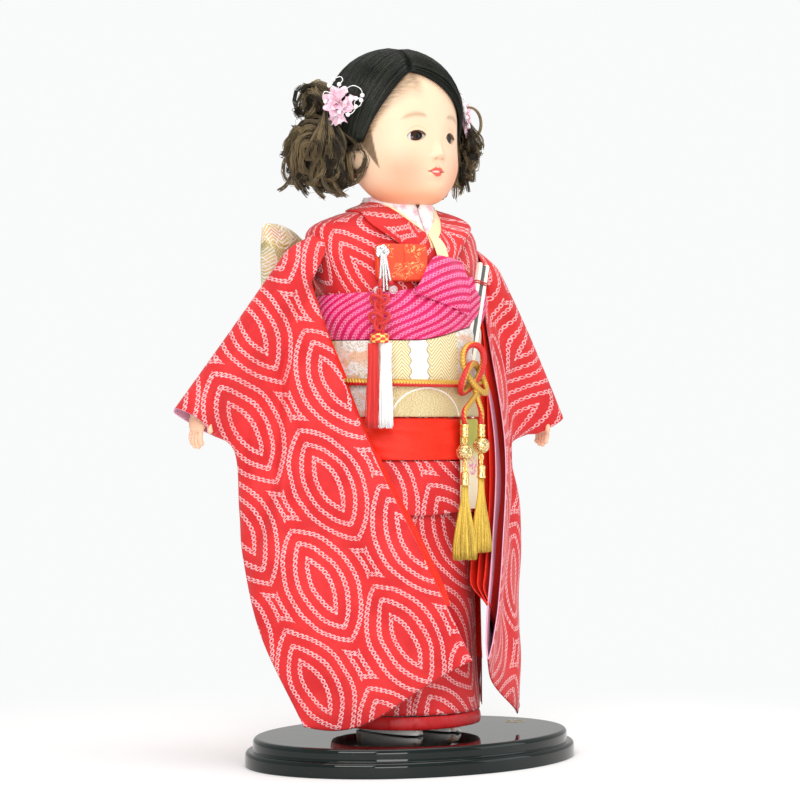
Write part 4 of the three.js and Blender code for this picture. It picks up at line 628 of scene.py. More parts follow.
def tubes(name, paths, radius, sides=6, caps=True):
    """Round threads along paths, shaped (thread, step, 3), with a radius that broadcasts to (thread, step).

    Frames are carried along each path without twist. UV is length in mm and share round the thread,
    and the attribute tone holds a number per thread."""
    paths = np.asarray(paths, float)
    radius = np.broadcast_to(np.asarray(radius, float), paths.shape[:2]).copy()
    if caps:
        paths = np.concatenate([paths[:, :1], paths, paths[:, -1:]], 1)
        radius = np.concatenate([radius[:, :1] * 0.02, radius, radius[:, -1:] * 0.02], 1)
    inner = paths[:, 1:-1] if caps else paths
    way = np.gradient(inner, axis=1)
    way = np.concatenate([way[:, :1], way, way[:, -1:]], 1) if caps else way
    way /= np.linalg.norm(way, axis=-1, keepdims=True) + 1e-12
    side = np.zeros_like(way)
    start = np.eye(3)[np.argmin(np.abs(way[:, 0]), axis=-1)]
    side[:, 0] = np.cross(way[:, 0], start)
    for k in range(1, way.shape[1]):
        side[:, k] = side[:, k - 1] - way[:, k] * np.sum(side[:, k - 1] * way[:, k], -1, keepdims=True)
    side /= np.linalg.norm(side, axis=-1, keepdims=True) + 1e-12
    other = np.cross(way, side)
    turn = circle(sides)
    ringed = side[:, :, None] * np.cos(turn)[:, None] + other[:, :, None] * np.sin(turn)[:, None]
    points = paths[:, :, None] + radius[:, :, None, None] * ringed
    run = np.cumsum(np.linalg.norm(np.diff(paths, axis=1, prepend=paths[:, :1]), axis=-1), 1) * 1000
    share = np.arange(sides + 1) / sides
    uv = stacked(run[:, :, None], share)
    made = surface(name, points, uv, close_v=True)
    tone = np.random.default_rng(len(name)).random(len(paths))
    attribute(made, "tone", np.repeat(tone, points.shape[1] * sides))
    return made


def spline(knots, t):
    """A smooth line through the knots, Catmull-Rom in even steps, at t from 0 to 1."""
    knots = np.asarray(knots, float)
    ends = np.vstack([2 * knots[0] - knots[1], knots, 2 * knots[-1] - knots[-2]])
    place = np.clip(np.asarray(t, float), 0, 1) * (len(knots) - 1)
    i = np.minimum(place.astype(int), len(knots) - 2)
    f = (place - i)[..., None]
    a, b, c, d = (ends[i + k] for k in range(4))
    return b + 0.5 * f * (c - a + f * (2 * a - 5 * b + 4 * c - d + f * (3 * (b - c) + d - a)))


TAIL_TURN = 1.5
t, v = grid(120, 40)
tail_z = mix(163.2, 42, t)
spread = (v - 0.5) * 20
tail_lift = 6.1 + 0.8 * np.sin(3 * np.pi * v + 2 * t) + 0.3 * np.sin(7 * np.pi * v)
tail_mid = body(TAIL_TURN + 0 * v, tail_z, tail_lift)
tail_side = np.array([math.cos(TAIL_TURN), math.sin(TAIL_TURN), 0]) / 1000
tail = surface("sash_tail_cloth", tail_mid + spread[..., None] * tail_side, stacked(spread, tail_z))
wear(thick(tail, 0.8), scarlet_silk, "figure", "scarlet_silk", "sash_tail")
draw = np.random.default_rng(4)
fringe_count = 64
fringe_v = np.linspace(0.01, 0.99, fringe_count)
fringe_t = np.linspace(0, 1, 14)[None, :, None]
fringe_lift = 5.7 + 0.8 * np.sin(3 * np.pi * fringe_v + 2)
fringe_top = body(TAIL_TURN + 0 * fringe_v, np.full(fringe_count, 42.5), fringe_lift)
fringe_top = fringe_top + ((fringe_v - 0.5) * 20)[:, None] * tail_side
fringe_drop = np.array([0, 0, -0.0295]) * draw.uniform(0.9, 1, (fringe_count, 1, 1))
fringe = fringe_top[:, None] + fringe_drop * fringe_t
fringe = fringe + draw.normal(0, 0.0006, (fringe_count, 1, 3)) * fringe_t * [1, 1, 0]
fringe_thread = painted("fringe_thread", Roughness=0.5, Sheen_Weight=0.2)
tone = mask("tone")
place = at_uv()
ply = put("TexWave", {"Vector": place, "Scale": 0.5, "Distortion": 1.0}).outputs["Fac"]
red = blended(tone, (0.32, 0.006, 0.01), (0.62, 0.02, 0.02))
feed(Base_Color=blended(times(ply, 0.35), red, (0.15, 0.002, 0.004)))
bumped(ply, 0.4, 0.0003)
wear(tubes("sash_tail_fringe", fringe, 0.00028, 5), fringe_thread, "figure", "scarlet_silk")

# Obi
# Woven brocade in gold lame and cream: gold herringbone leaves and pale scrolls, a little rose and green.

woven, place = group("woven_gold", "Color", "Metal", "Height")
swirl = noise(place, 0.05, 1, 0.8)
bands = math_of("FRACT", times(swirl, 7.0))
petal = put("TexVoronoi", {"Vector": place, "Scale": 0.07, "Randomness": 0.8}, feature="SMOOTH_F1")
petal_far = petal.outputs["Distance"]
xyz = split(place)
zig = math_of("PINGPONG", xyz[0], 4.5)
leaf = math_of("FRACT", times(math_of("ADD", times(zig, 0.9), xyz[1]), 0.42))
leaf = ramp(math_of("PINGPONG", leaf, 0.5), 0.17, 0.3)
speck = noise(put("Mapping", {"Vector": place, "Scale": (1, 2.4, 1)}).outputs[0], 1.3, 2)
lame = blended(ramp(speck, 0.35, 0.68), (0.4, 0.26, 0.1), (0.82, 0.66, 0.36))
cream = blended(ramp(speck, 0.3, 0.75), (0.66, 0.61, 0.5), (0.9, 0.87, 0.79))
leafy = blended(leaf, cream, (0.66, 0.47, 0.19))
ground = blended(ramp(petal_far, 0.4, 0.44), leafy, lame)
scroll = times(ramp(math_of("PINGPONG", bands, 0.5), 0.43, 0.47), 0.85)
ground = blended(scroll, ground, (0.9, 0.89, 0.85))
tint = noise(place, 0.09, 0)
blush = times(ramp(tint, 0.62, 0.68), leaf)
ground = blended(times(blush, 0.7), ground, (0.72, 0.3, 0.22))
green = times(ramp(tint, 0.36, 0.32), leaf)
ground = blended(times(green, 0.6), ground, (0.34, 0.38, 0.2))
feed(Color=ground)
feed(Metal=ramp(petal_far, 0.4, 0.44, 0.15, 0.7))
feed(Height=math_of("MULTIPLY_ADD", leaf, 0.5, speck))
brocade = painted("gold_brocade", Roughness=0.45, Specular_IOR_Level=0.5)
cloth = use(woven, at_uv())
feed(Base_Color=cloth["Color"], Metallic=cloth["Metal"])
bumped(cloth["Height"], 0.5, 0.0005)
obi_weave = painted("obi_weave", Roughness=0.45, Specular_IOR_Level=0.5)
place = at_uv()
cloth = use(woven, place)
x, y, _ = split(place)
thread = noise(put("Mapping", {"Vector": place, "Scale": (1, 2.4, 1)}).outputs[0], 1.5, 2)
gold = blended(ramp(thread, 0.32, 0.68), (0.36, 0.25, 0.09), (0.86, 0.74, 0.44))
rib = math_of("ADD", times(math_of("PINGPONG", math_of("ADD", x, 3.5), 5.5), 1.3), y)
rib = ramp(math_of("PINGPONG", times(rib, 0.45), 0.5), 0.1, 0.26)
leaf = blended(rib, (0.5, 0.36, 0.13), (0.84, 0.74, 0.48))
scribble = noise(place, 0.15, 1, 1.8)
scribble = ramp(math_of("PINGPONG", times(scribble, 6.0), 0.5), 0.3, 0.42)
blush = ramp(noise(place, 0.1, 1), 0.5, 0.66)
petals = blended(blush, (0.8, 0.78, 0.77), (0.8, 0.46, 0.32))
petals = blended(times(scribble, 0.8), petals, (0.52, 0.42, 0.24))
scallop = times(math_of("ABSOLUTE", math_of("SINE", times(y, 0.5))), 1.5)
from_left, from_right = math_of("SUBTRACT", x, scallop), math_of("ADD", x, scallop)
on_left, on_right = ramp(from_right, -29.5, -30.1), ramp(from_left, 7.0, 7.6)
stripe = times(ramp(from_left, -21.9, -21.5), ramp(from_right, -10.2, -10.6))
rim = times(ramp(from_left, -22.5, -22.1), ramp(from_right, -9.6, -10.0))
rim = math_of("SUBTRACT", rim, stripe)
upper = blended(times(rim, 0.7), leaf, (0.16, 0.14, 0.09))
upper = blended(stripe, upper, blended(thread, (0.8, 0.79, 0.76), (0.9, 0.89, 0.87)))
upper = blended(math_of("MAXIMUM", on_left, on_right), upper, petals)
bow_far = put("VectorMath", {0: place, 1: (-12, 186, 0)}, operation="DISTANCE").outputs["Value"]
arc = ramp(math_of("ABSOLUTE", math_of("SUBTRACT", bow_far, 20.8)), 0.55, 0.3)
lower = blended(arc, gold, (0.9, 0.88, 0.82))
lower = blended(on_left, lower, petals)
is_upper = ramp(y, 210.0, 210.6)
front = ramp(math_of("ABSOLUTE", x), 66, 62)
weft = blended(is_upper, lower, upper)
feed(Base_Color=blended(front, cloth["Color"], weft), Metallic=times(math_of("SUBTRACT", 1.0, stripe), 0.28))
bumped(math_of("MULTIPLY_ADD", rib, 0.5, thread), 0.5, 0.0005)


def scarf_rise(angle):
    """How far the scarf's lower edge and the obi's upper one rise toward the doll's left front."""
    return 9 * ease(angle, -0.4, 0.6) * (1 - ease(angle, 1.1, 2.2))


loop = circle(60)[:, None]
a = circle(200)[None, :] - np.pi
across = bent(np.cos(loop), 0.28)
obi_z = 212.35 + 22.6 * bent(np.sin(loop), 0.7)
obi_z = obi_z + scarf_rise(a) * np.clip((obi_z - 214) / 21, 0, 1)
bite = -0.55 * np.exp(-((obi_z - 211) / 3.2) ** 2)
buckle = 0.16 * np.sin(0.33 * obi_z + 5 * np.sin(2 * a)) + 0.12 * np.sin(9 * a + 0.2 * obi_z)
obi = wrapped("obi_cloth", a, obi_z, 3.0 + 2.3 * across + np.where(across > 0, bite + buckle, 0), True)
wear(obi, obi_weave, "figure", "brocade", "obi")

# Scarf
# A silk scarf over the obi's edge, dyed magenta and pleated on the slant, with a row of pale ties on
# every pleat. Its end turns over at the front with the pleats running the other way.

PLEAT = 4.1
pleat_ties, place = group("pleat_ties", "Ring", "Height", "Groove")
xyz = split(place)
fray = noise(place, 0.8, 2)
row = times(math_of("WRAP", xyz[1], 0.5, -0.5), PLEAT)
bead = math_of("WRAP", xyz[0], 1.1, -1.1)
apart = math_of("SQRT", math_of("MULTIPLY_ADD", row, row, times(bead, bead)))
apart = math_of("MULTIPLY_ADD", math_of("SUBTRACT", fray, 0.5), 0.7, apart)
feed(Ring=times(ramp(apart, 1.16, 0.94), ramp(apart, 0.4, 0.66)))
feed(Height=ramp(apart, 1.5, 0.0))
# The groove value marks the valleys between the pleats, where the colour takes painted shade.
feed(Groove=ramp(math_of("ABSOLUTE", row), 1.25, 2.0))
magenta = painted("magenta_ties", Roughness=0.5, Sheen_Weight=0.08, Specular_IOR_Level=0.35)
pleat_place = at_uv()
ties = use(pleat_ties, pleat_place)
cloud = noise(at_object(), 70, 2)
pink = blended(ramp(cloud, 0.3, 0.7), (0.58, 0.003, 0.095), (0.76, 0.01, 0.17))
# Painted shade darkens the valleys between the pleats.
pink = blended(times(ties["Groove"], 0.75), pink, (0.46, 0.0, 0.045))
feed(Base_Color=blended(times(ties["Ring"], 0.8), pink, (0.92, 0.3, 0.5)))
bumped(ties["Height"], 0.6, 0.0009)


def scarf_top(angle):
    """The scarf's upper edge: low at the doll's right, high at its left, and dipping round the back."""
    return 235.1 + mix(29, 40, ease(np.sin(angle), -0.7, 0.6)) - 2 * (1 - np.cos(angle))


t, a = girth(100, 300)
scarf_z = mix(235.5 + scarf_rise(a), scarf_top(a), t)
pleat = (scarf_z * 0.8 - 0.62 * a * ROUND + 2.2 * np.sin(1.7 * a)
    + 1.2 * np.sin(0.16 * scarf_z + 3 * a)) / PLEAT
swell = np.sin(np.pi * mix(0.12, 0.9, t)) ** 0.8 * 5.4
ripple = 0.85 * np.abs(np.sin(np.pi * pleat)) ** 0.7 * np.sin(np.pi * mix(0.03, 0.97, t)) ** 0.4
inside = np.linspace(0, 1, 14)[1:-1, None]
points = np.concatenate([body(a + 0 * t, scarf_z, 1.0 + swell + ripple),
    body(a + 0 * inside, mix(scarf_top(a), 235.5 + scarf_rise(a), inside), 1.0 + 0 * inside * a)], 0)
pleat_uv = np.stack([(0.62 * scarf_z + 0.8 * a * ROUND), pleat - 0.5], -1)
lining_uv = np.broadcast_to(pleat_uv[-1:], (len(inside),) + pleat_uv.shape[1:])
pleat_uv = np.concatenate([pleat_uv, lining_uv, pleat_uv[:1]], 0)
scarf = surface("scarf_cloth", points, closed(pleat_uv), True, True, True)
wear(scarf, magenta, "figure", "pink_silk", "scarf")

u, v = grid(100, 66)
fold_turn = mix(-0.38, 0.3, u)
fold_low = 235.1 + mix(27, 15, u ** 1.15)
fold_high = fold_low + 1.5 + 27.5 * ease(u, -0.1, 0.5) + 4 * ease(u, 0.4, 1)
fold_z = mix(fold_low, fold_high, v)
edge = np.minimum(np.sin(np.pi * mix(0.02, 0.99, v)), np.sin(np.pi * mix(0.03, 0.8, u)))
fold_x = fold_turn * ROUND * 1.15
pleat = (0.86 * fold_z - 0.5 * fold_x + 0.013 * np.clip(fold_x + 8, 0, 40) ** 2) / PLEAT
over_wallet = 3.4 * ease(v, 0, 0.5) * (1 - ease(u, 0.5, 0.9)) - 2.5 * ease(v, 0.55, 1) * ease(u, 0.6, 1)
fold_lift = 6.8 + over_wallet + 2.6 * edge ** 0.35 + 0.8 * np.abs(np.sin(np.pi * pleat)) ** 0.7
fold_points = body(fold_turn, fold_z, fold_lift)
pleat_uv = np.stack([0.86 * fold_x + 0.5 * fold_z, pleat - 0.5], -1)
scarf_fold = surface("scarf_fold_cloth", fold_points, pleat_uv, flip=False)
wear(thick(scarf_fold, 0.9), magenta, "figure", "pink_silk", "scarf_fold")

# Obi cord
# A round braid, gold on one half and red on the other, about the obi; it is tied in front in a
# three-lobed knot, and its two ends carry the charms.

braid = painted("gold_and_red_braid", Roughness=0.42, Specular_IOR_Level=0.5)
place = at_uv()
xyz = split(place)
side = mask("half")
plait = math_of("ADD", times(xyz[0], 0.55), math_of("PINGPONG", times(xyz[1], 4.0), 1.0))
plait = math_of("PINGPONG", plait, 0.5)
ragged = math_of("MULTIPLY_ADD", math_of("SUBTRACT", plait, 0.25), 0.5, side)
golden = blended(plait, (0.5, 0.26, 0.03), (0.95, 0.66, 0.17))
ruddy = blended(plait, (0.48, 0.004, 0.006), (0.88, 0.035, 0.02))
is_gold = ramp(ragged, -0.1, 0.1)
feed(Base_Color=blended(is_gold, ruddy, golden), Metallic=times(is_gold, 0.55))
bumped(plait, 0.7, 0.0007)


def half_of(piece, turn):
    """Marks the gold half of a braid; turn says where that half starts round the thread."""
    rows = len(piece.data.vertices)
    sides = 12
    share = np.arange(rows) % sides / sides
    step = np.arange(rows) // sides
    attribute(piece, "half", np.sin(2 * np.pi * share + turn(step)))


KNOT_TURN = 0.32
knot_out = np.array([math.sin(KNOT_TURN), -math.cos(KNOT_TURN), 0])
knot_side = np.array([math.cos(KNOT_TURN), math.sin(KNOT_TURN), 0])
knot_at = body(KNOT_TURN, 216.0, 10.8)
ring_t = np.linspace(0, 1, 400)
ring_turn = KNOT_TURN + 0.1 + ring_t * 2 * (np.pi - 0.1)
cord_ring = tubes("obi_cord_ring", body(ring_turn, 211 - 1.5 * np.cos(ring_turn), 7.7)[None], 0.0022, 12)
half_of(cord_ring, lambda step: 3.0 + 0 * step)
wear(cord_ring, braid, "figure", "gold_thread", "obi_cord")
t = np.linspace(0, 2 * np.pi, 260)
lobe = 5.7 / 1000
knot_path = (knot_at + np.outer(lobe * (np.sin(t) + 2 * np.sin(2 * t)), knot_side)
             + np.outer(-0.0029 * np.sin(3 * t), knot_out)
             + np.outer(-lobe * (np.cos(t) - 2 * np.cos(2 * t)), [0, 0, 1]))
cord_knot = tubes("obi_cord_knot", knot_path[None], 0.002, 12, caps=False)
half_of(cord_knot, lambda step: 0.035 * step)
wear(cord_knot, braid, "figure", "gold_thread")


def charm_top(angle):
    """Where a cord end meets its charm."""
    return body(angle, 185.73, 16.8)


for name, angle in (("right", 0.05), ("left", 0.29)):
    end = charm_top(angle)
    drop = np.array([0, 0, 1])
    end_path = spline([knot_at - drop * 0.004, knot_at - drop * 0.0125 + knot_out * 0.0018,
        end + drop * 0.0075, end - drop * 0.0003], np.linspace(0, 1, 60))
    cord_end = tubes("obi_cord_end_" + name, end_path[None], 0.0017, 12)
    half_of(cord_end, lambda step: 0.06 * step)
    wear(cord_end, braid, "figure", "gold_thread")

# Gold charms
# A gilt ferrule grips each cord end, a link carries a pierced ball, and a skirt of gold thread hangs from it.


def hung(pivot, turn, x, y, z):
    """Points in mm of a thing that hangs at a pivot and is turned about the upright, in the frame."""
    c, s = math.cos(turn), math.sin(turn)
    return np.asarray(pivot) + stacked(c * x - s * y, s * x + c * y, z) / 1000


def lathed(pivot, turn, radius, height, sides=40, x=0.0, y=0.0):
    """A turned form about an upright line, from a profile of radius and height in mm."""
    a = circle(sides)[None, :]
    radius, height = np.asarray(radius, float)[:, None], np.asarray(height, float)[:, None]
    return hung(pivot, turn, x + radius * np.cos(a), y + radius * np.sin(a), height + 0 * a)


def skirt(pivot, turn, top, low, top_z, length, count, seed, x=0.0):
    """Threads of a tassel: they leave a ring under the cap, draw in at its tie and flare to an even end."""
    draw = np.random.default_rng(seed)
    a = draw.uniform(0, 2 * np.pi, (count, 1))
    r = np.sqrt(draw.uniform(0.15, 1, (count, 1)))
    t = np.linspace(0, 1, 11)[None, :]
    spread = mix(0.85, 1.0, np.exp(-((t - 0.05) / 0.06) ** 2)) * mix(top, low, ease(t, 0.03, 0.95)) / low
    wave = 0.35 * np.sin(5 * t + draw.uniform(0, 6, (count, 1))) * t
    px = x + low / 2 * spread * r * np.cos(a) + wave + draw.normal(0, 0.35, (count, 1)) * t
    py = low / 4 * spread * r * np.sin(a) + 0.6 * wave + draw.normal(0, 0.25, (count, 1)) * t
    pz = top_z - t * length * draw.uniform(0.955, 1.0, (count, 1))
    return hung(pivot, turn, px, py, pz)


bright_gold = painted("pierced_gilt", Metallic=1.0, Roughness=0.22)
place = at_object()
lace = put("TexVoronoi", {"Vector": place, "Scale": 700}, feature="DISTANCE_TO_EDGE").outputs["Distance"]
# The darker middles of the cells are painted shade in the ball's piercings.
hole_shade = ramp(lace, 0.05, 0.16)
feed(Base_Color=blended(hole_shade, (1.0, 0.86, 0.52), (0.62, 0.4, 0.1)))
bumped(times(hole_shade, -1.0), 0.8, 0.0006)
plain_gold = mottled("plain_gilt", 500, 3, (0.86, 0.57, 0.18), (1.0, 0.78, 0.36), rough=(0.16, 0.32),
    Metallic=1.0)
gold_thread = painted("gold_thread", Roughness=0.34, Metallic=0.45)
tone = mask("tone")
run = split(at_uv())[0]
place = put("CombineXYZ", {0: run, 1: times(tone, 90.0)}).outputs[0]
ply = noise(place, 1.6, 1)
thread_gold = blended(tone, (0.3, 0.16, 0.01), (0.9, 0.6, 0.07))
feed(Base_Color=blended(ramp(ply, 0.35, 0.7, 0, 0.45), thread_gold, (1.0, 0.8, 0.22)))
bumped(ply, 0.4, 0.0003)
for name, angle, seed, short in (("right", 0.05, 5, 0.0), ("left", 0.29, 9, 4.0)):
    pivot = charm_top(angle)
    ball_t = np.linspace(0, np.pi, 25)
    ferrule_r = [0.1, 2.05, 2.05, 2.3, 2.55, 2.55, 2.3, 2.3, 2.5, 2.5, 2.3, 2.3, 2.55, 2.55, 2.2, 0.1]
    ferrule_z = [-2, -2, -0.35, -0.35, -0.6, -1.3, -1.5, -3.5, -3.7, -4.6, -4.8, -6.6, -6.8, -7.6, -8, -8]
    cap_r = [0.1, 1.0, 1.6, 2.5, 2.7, 2.5, 2.5, 2.8, 2.8, 2.4, 0.1]
    cap_z = short + np.array([-28.2, -28.2, -28.7, -29.3, -30.2, -31, -35, -35.4, -36.2, -36.6, -36.6])
    stem_r, stem_z = [0.1, 0.7, 0.7, 0.1], [-7.6, -7.7, short - 28.6, short - 28.7]
    metal = surface(name + "_charm_ferrule", lathed(pivot, angle, ferrule_r, ferrule_z), close_v=True)
    wear(metal, plain_gold, name + "_charm", "gold", name + "_gold_charm")
    for part, profile in (("cap", (cap_r, cap_z)), ("stem", (stem_r, stem_z))):
        metal = surface(f"{name}_charm_{part}", lathed(pivot, angle, *profile), close_v=True)
        wear(metal, plain_gold, name + "_charm", "gold")
    ball_r, ball_z = 5.1 * np.sin(ball_t) + 0.02, short - 17 + 5.1 * np.cos(ball_t)
    shell = surface(name + "_charm_ball", lathed(pivot, angle, ball_r, ball_z), close_v=True)
    wear(shell, bright_gold, name + "_charm", "gold")
    t = np.linspace(0, 2 * np.pi, 40)
    links = np.stack([hung(pivot, angle, 1.7 * np.cos(t), 0 * t, -10.0 + 1.9 * np.sin(t)),
                      hung(pivot, angle, 0 * t, 1.3 * np.cos(t), short - 23.9 + 2.0 * np.sin(t)),
                      hung(pivot, angle, 1.3 * np.cos(t), 0 * t, short - 26.9 + 1.7 * np.sin(t))])
    links = tubes(name + "_charm_links", links, 0.00055, 8, caps=False)
    wear(links, plain_gold, name + "_charm", "gold")
    threads = skirt(pivot, angle, 5.4, 20.5, short - 36.9, 44, 620, seed)
    wear(tubes(name + "_gold_tassel_thread", threads, 0.00021, 4), gold_thread, name + "_charm",
        "gold_thread", name + "_gold_tassel")

# Hanging tag
# A card, olive above and cream below, with a rose spray, tied behind the charms; it carries no lettering.


def rounded(x, y, z, sharp=0.16, rows=24, columns=48):
    """A box with soft edges as a superellipsoid, its half sizes in mm; returns its x, y and z grids."""
    u = np.linspace(-np.pi / 2, np.pi / 2, rows)[:, None]
    v = circle(columns)[None, :]
    level, upright = bent(np.cos(u), sharp), z * bent(np.sin(u), sharp) + 0 * v
    return x * level * bent(np.cos(v), sharp), y * level * bent(np.sin(v), sharp), upright


TAG_TURN = 0.36
tag_pivot = (0.0186687, -0.0307787, 0.2051)
x, y, z = rounded(10.5, 0.5, 27, 0.1)
card = surface("tag_card", hung(tag_pivot, TAG_TURN, x, y, z - 27), closed(np.stack([x, z], -1)),
               close_v=True, flip=True)
paper = painted("tag_paper", Roughness=0.7)
place = at_uv()
xyz = split(place)
fibre = noise(place, 1.2, 4)
wash = noise(place, 0.13, 2)
cream = blended(fibre, (0.84, 0.74, 0.5), (0.92, 0.85, 0.66))
olive = blended(wash, (0.34, 0.33, 0.05), (0.5, 0.47, 0.1))
cream = blended(ramp(xyz[1], -8, 16), cream, olive)
bloom = put("VectorMath", {0: place, 1: (3.5, -1.0, 0)}, operation="DISTANCE").outputs["Value"]
bloom = times(ramp(bloom, 6.5, 5.0), ramp(noise(place, 0.42, 2), 0.5, 0.54))
feed(Base_Color=blended(bloom, cream, (0.8, 0.25, 0.42)))
bumped(fibre, 0.2, 0.0003)
wear(card, paper, "tag", "paper", "tag")
t = np.linspace(0, 2 * np.pi, 60)
string = hung(tag_pivot, TAG_TURN, 1.1 * np.sin(t), -0.9 * np.cos(t), -1.2 + 2.4 * np.cos(t))
wear(tubes("tag_string", string[None], 0.0003, 6, caps=False), fringe_thread, "tag", "scarlet_silk")

# Folding fan
# Closed and tucked into the obi: cream guards over a stack of black leaves, held by a red thread.

fan_basis = np.array([(0.94062, -0.0063, -0.24021), (-0.02169, 0.99664, -0.05467),
    (0.23931, 0.05848, 0.93738)])
fan_foot = np.array([0.0221968, -0.0253168, 0.2356])


def on_fan(x, y, z):
    """Points of the fan, in mm along its width, depth and length, in the shared frame."""
    return fan_foot + stacked(x, y, z) @ fan_basis / 1000


fan_black = mottled("fan_lacquer", 220, 3, (0.006, 0.006, 0.007), (0.03, 0.028, 0.026), Roughness=0.14,
    Coat_Weight=0.5)
fan_cream = mottled("fan_guard", 300, 3, (0.8, 0.74, 0.58), (0.9, 0.86, 0.75), Roughness=0.32)
x, y, z = rounded(1.25, 1.5, 34, 0.18)
guards = np.stack([on_fan(x + shift, y, z + 34) for shift in (-2.8, 2.8)])
wear(surface("fan_guards", guards, close_v=True, flip=True), fan_cream, "fan", "fan_lacquer", "fan")
x, y, z = rounded(1.5, 1.25, 33.2, 0.12, 24, 120)
slats = on_fan(x, y + 0.12 * np.cos(9 * x), z + 33.6)
slat_uv = closed(np.stack([x, z + 33.6], -1))
wear(surface("fan_leaves", slats, slat_uv, close_v=True, flip=True), fan_black, "fan", "fan_lacquer")
t = np.linspace(0, 2 * np.pi, 80)
tie = np.stack([on_fan(4.05 * bent(np.cos(t), 0.4), 1.66 * bent(np.sin(t), 0.4), height)
    for height in (54.6, 55.9)])
wear(tubes("fan_tie", tie, 0.0005, 6, caps=False), fringe_thread, "fan", "scarlet_silk")

# Collars
# The outer collar is cut from the kimono silk; a thin cream collar and a white under-collar with pink
# blossoms show inside it. They run round the nape and cross in front, left over right.

blossoms, place = group("blossoms", "Petal", "Heart")
spots = put("TexVoronoi", {"Vector": place, "Scale": 1.0, "Randomness": 0.55}, voronoi_dimensions="2D")
from_spot = put("VectorMath", {0: place, 1: spots.outputs["Position"]}, operation="SUBTRACT")
xyz = split(from_spot.outputs[0])
bearing = math_of("ARCTAN2", xyz[1], xyz[0])
scallop = math_of("ABSOLUTE", math_of("COSINE", times(bearing, 2.5)))
reach = math_of("MULTIPLY_ADD", scallop, 0.16, 0.24)
inside = math_of("SUBTRACT", reach, spots.outputs["Distance"])
feed(Petal=ramp(inside, 0.0, 0.05), Heart=ramp(spots.outputs["Distance"], 0.12, 0.07))

flowered = painted("flowered_collar", Roughness=0.75, Sheen_Weight=0.3)
place = at_uv()
print_place = put("VectorMath", {0: place, "Scale": 0.125}, operation="SCALE").outputs[0]
spot = use(blossoms, print_place)
weave = noise(place, 2.2, 2)
white = blended(weave, (0.8, 0.77, 0.76), (0.9, 0.88, 0.87))
white = blended(times(spot["Petal"], 0.75), white, (0.88, 0.5, 0.6))
feed(Base_Color=blended(times(spot["Heart"], 0.6), white, (0.85, 0.24, 0.4)))
bumped(weave, 0.3, 0.0003)
cream_silk = painted("cream_silk", Roughness=0.5, Sheen_Weight=0.3)
place = at_uv()
weave = noise(place, 2.0, 2)
feed(Base_Color=blended(weave, (0.88, 0.66, 0.32), (0.95, 0.8, 0.5)))
bumped(weave, 0.3, 0.0003)


NECK = np.array([(275, 57, 38, 4), (293, 42, 34, 6.5), (300, 34, 30, 6), (306, 28, 25.5, 5),
    (313, 22.5, 21, 4), (319, 19.5, 18.5, 3.5), (330, 19, 18, 3.5)])


def at_neck(angle, z, grow):
    """A point on the cone from chest to neck that the collars lie on, measured as round the body."""
    wide, deep, back = (np.interp(z, NECK[:, 0], NECK[:, k]) for k in (1, 2, 3))
    return figure((wide + grow) * np.sin(angle), back - (deep + grow) * np.cos(angle), z)


def collar_band(name, edges, lift, roll, drawn, last=1.01, tail=None, rows=14):
    """A collar between a lower and an upper edge that are given as functions of the turn from the nape.

    It leaves the body where its share of the width passes the drawn one and draws in to the neck from there.
    A tail of a set width runs on from the left front, straight down the middle to the scarf."""
    u, v = grid(270, rows)
    turn = mix(-1.02 * np.pi, last * np.pi, u)
    low, high = edges(turn)
    z = mix(low, high, v)
    lap = 1.6 + 2.6 * ease(turn, -2.2, 2.6)
    bend = roll * np.sin(np.pi * mix(0.05, 0.95, v)) + lift + 0.15 * np.sin(11 * turn + 3 * v)
    close = ease(v, drawn, 1)[..., None] if drawn < 1 else np.ones_like(v)[..., None]
    on_body = body(np.pi - turn + 0 * v, z, lap + 1 + bend)
    points = mix(on_body, at_neck(np.pi - turn, z, 0.8 * lap + bend), close)
    centre = points[:, rows // 2]
    run = np.cumsum(np.linalg.norm(np.diff(centre, axis=0, prepend=centre[:1]), axis=1))
    uv = stacked(run[:, None] * 1000, v * (high - low) * 1.4)
    uv = uv if drawn < 1 else stacked(26 * turn, 1.15 * z)
    if tail is None:
        return surface(name, points, uv, flip=True)
    side, width, top = tail
    tail_turn = (side + mix(width, 0, v)) / 37 + 0.03 * u
    tail_z = mix(top, 281, u) + mix(0.35 * width, 0, v) * (1 - u)
    down = mix(at_neck(tail_turn, tail_z, 4.3 + bend[-1:]), body(tail_turn, tail_z, 6.4 + bend[-1:]),
               ease(u, 0, 0.5)[..., None])
    down_uv = stacked(300 + (top - 281) * u, v * width)
    return surface(name, np.stack([points, down]), np.stack([uv, down_uv]), flip=True)


def accent_edges(turn):
    """The cream collar: a thin edge on the right, a broader one on the left, low under the jaw."""
    high = collar_edges(turn)[1]
    jaw = 3.4 * np.exp(-((np.abs(turn) - 1.7) / 0.5) ** 2)
    return high - 2.5 - 0.3 * jaw, high + 1.7 - jaw + 5.3 * ease(turn, 1.2, 3.0)


def under_edges(turn):
    """The white collar stands high in front and low under the jaw."""
    high = collar_edges(-np.abs(turn))[1]
    return high - 1, high + np.interp(turn, (-3, -2.36, -1.57, 0.5, 1.57, 2.36, 3), (17, 8, 3, 2.5, 3, 8, 17))


outer_collar = collar_band("collar_cloth", collar_edges, 0.5, 0.9, 0.25, 0.966, None, 24)
wear(thick(outer_collar, 0.9, True), tied_kimono, "figure", "kimono_silk", "collar")
outer_collar.data.materials.append(scarlet_silk)
accent = collar_band("accent_collar_cloth", accent_edges, 0.1, 0.2, 1.0, 1.01, (-1.2, 4.9, 300))
wear(thick(accent, 0.6), cream_silk, "figure", "cream_cloth", "accent_collar")
under = collar_band("under_collar_cloth", under_edges, -0.7, 0.3, 1.0)
wear(thick(under, 0.6), flowered, "figure", "white_cloth", "under_collar")

# Wallet
# A flat brocade case tucked into the collar, red-orange with gold scrolls, its flap folded over.

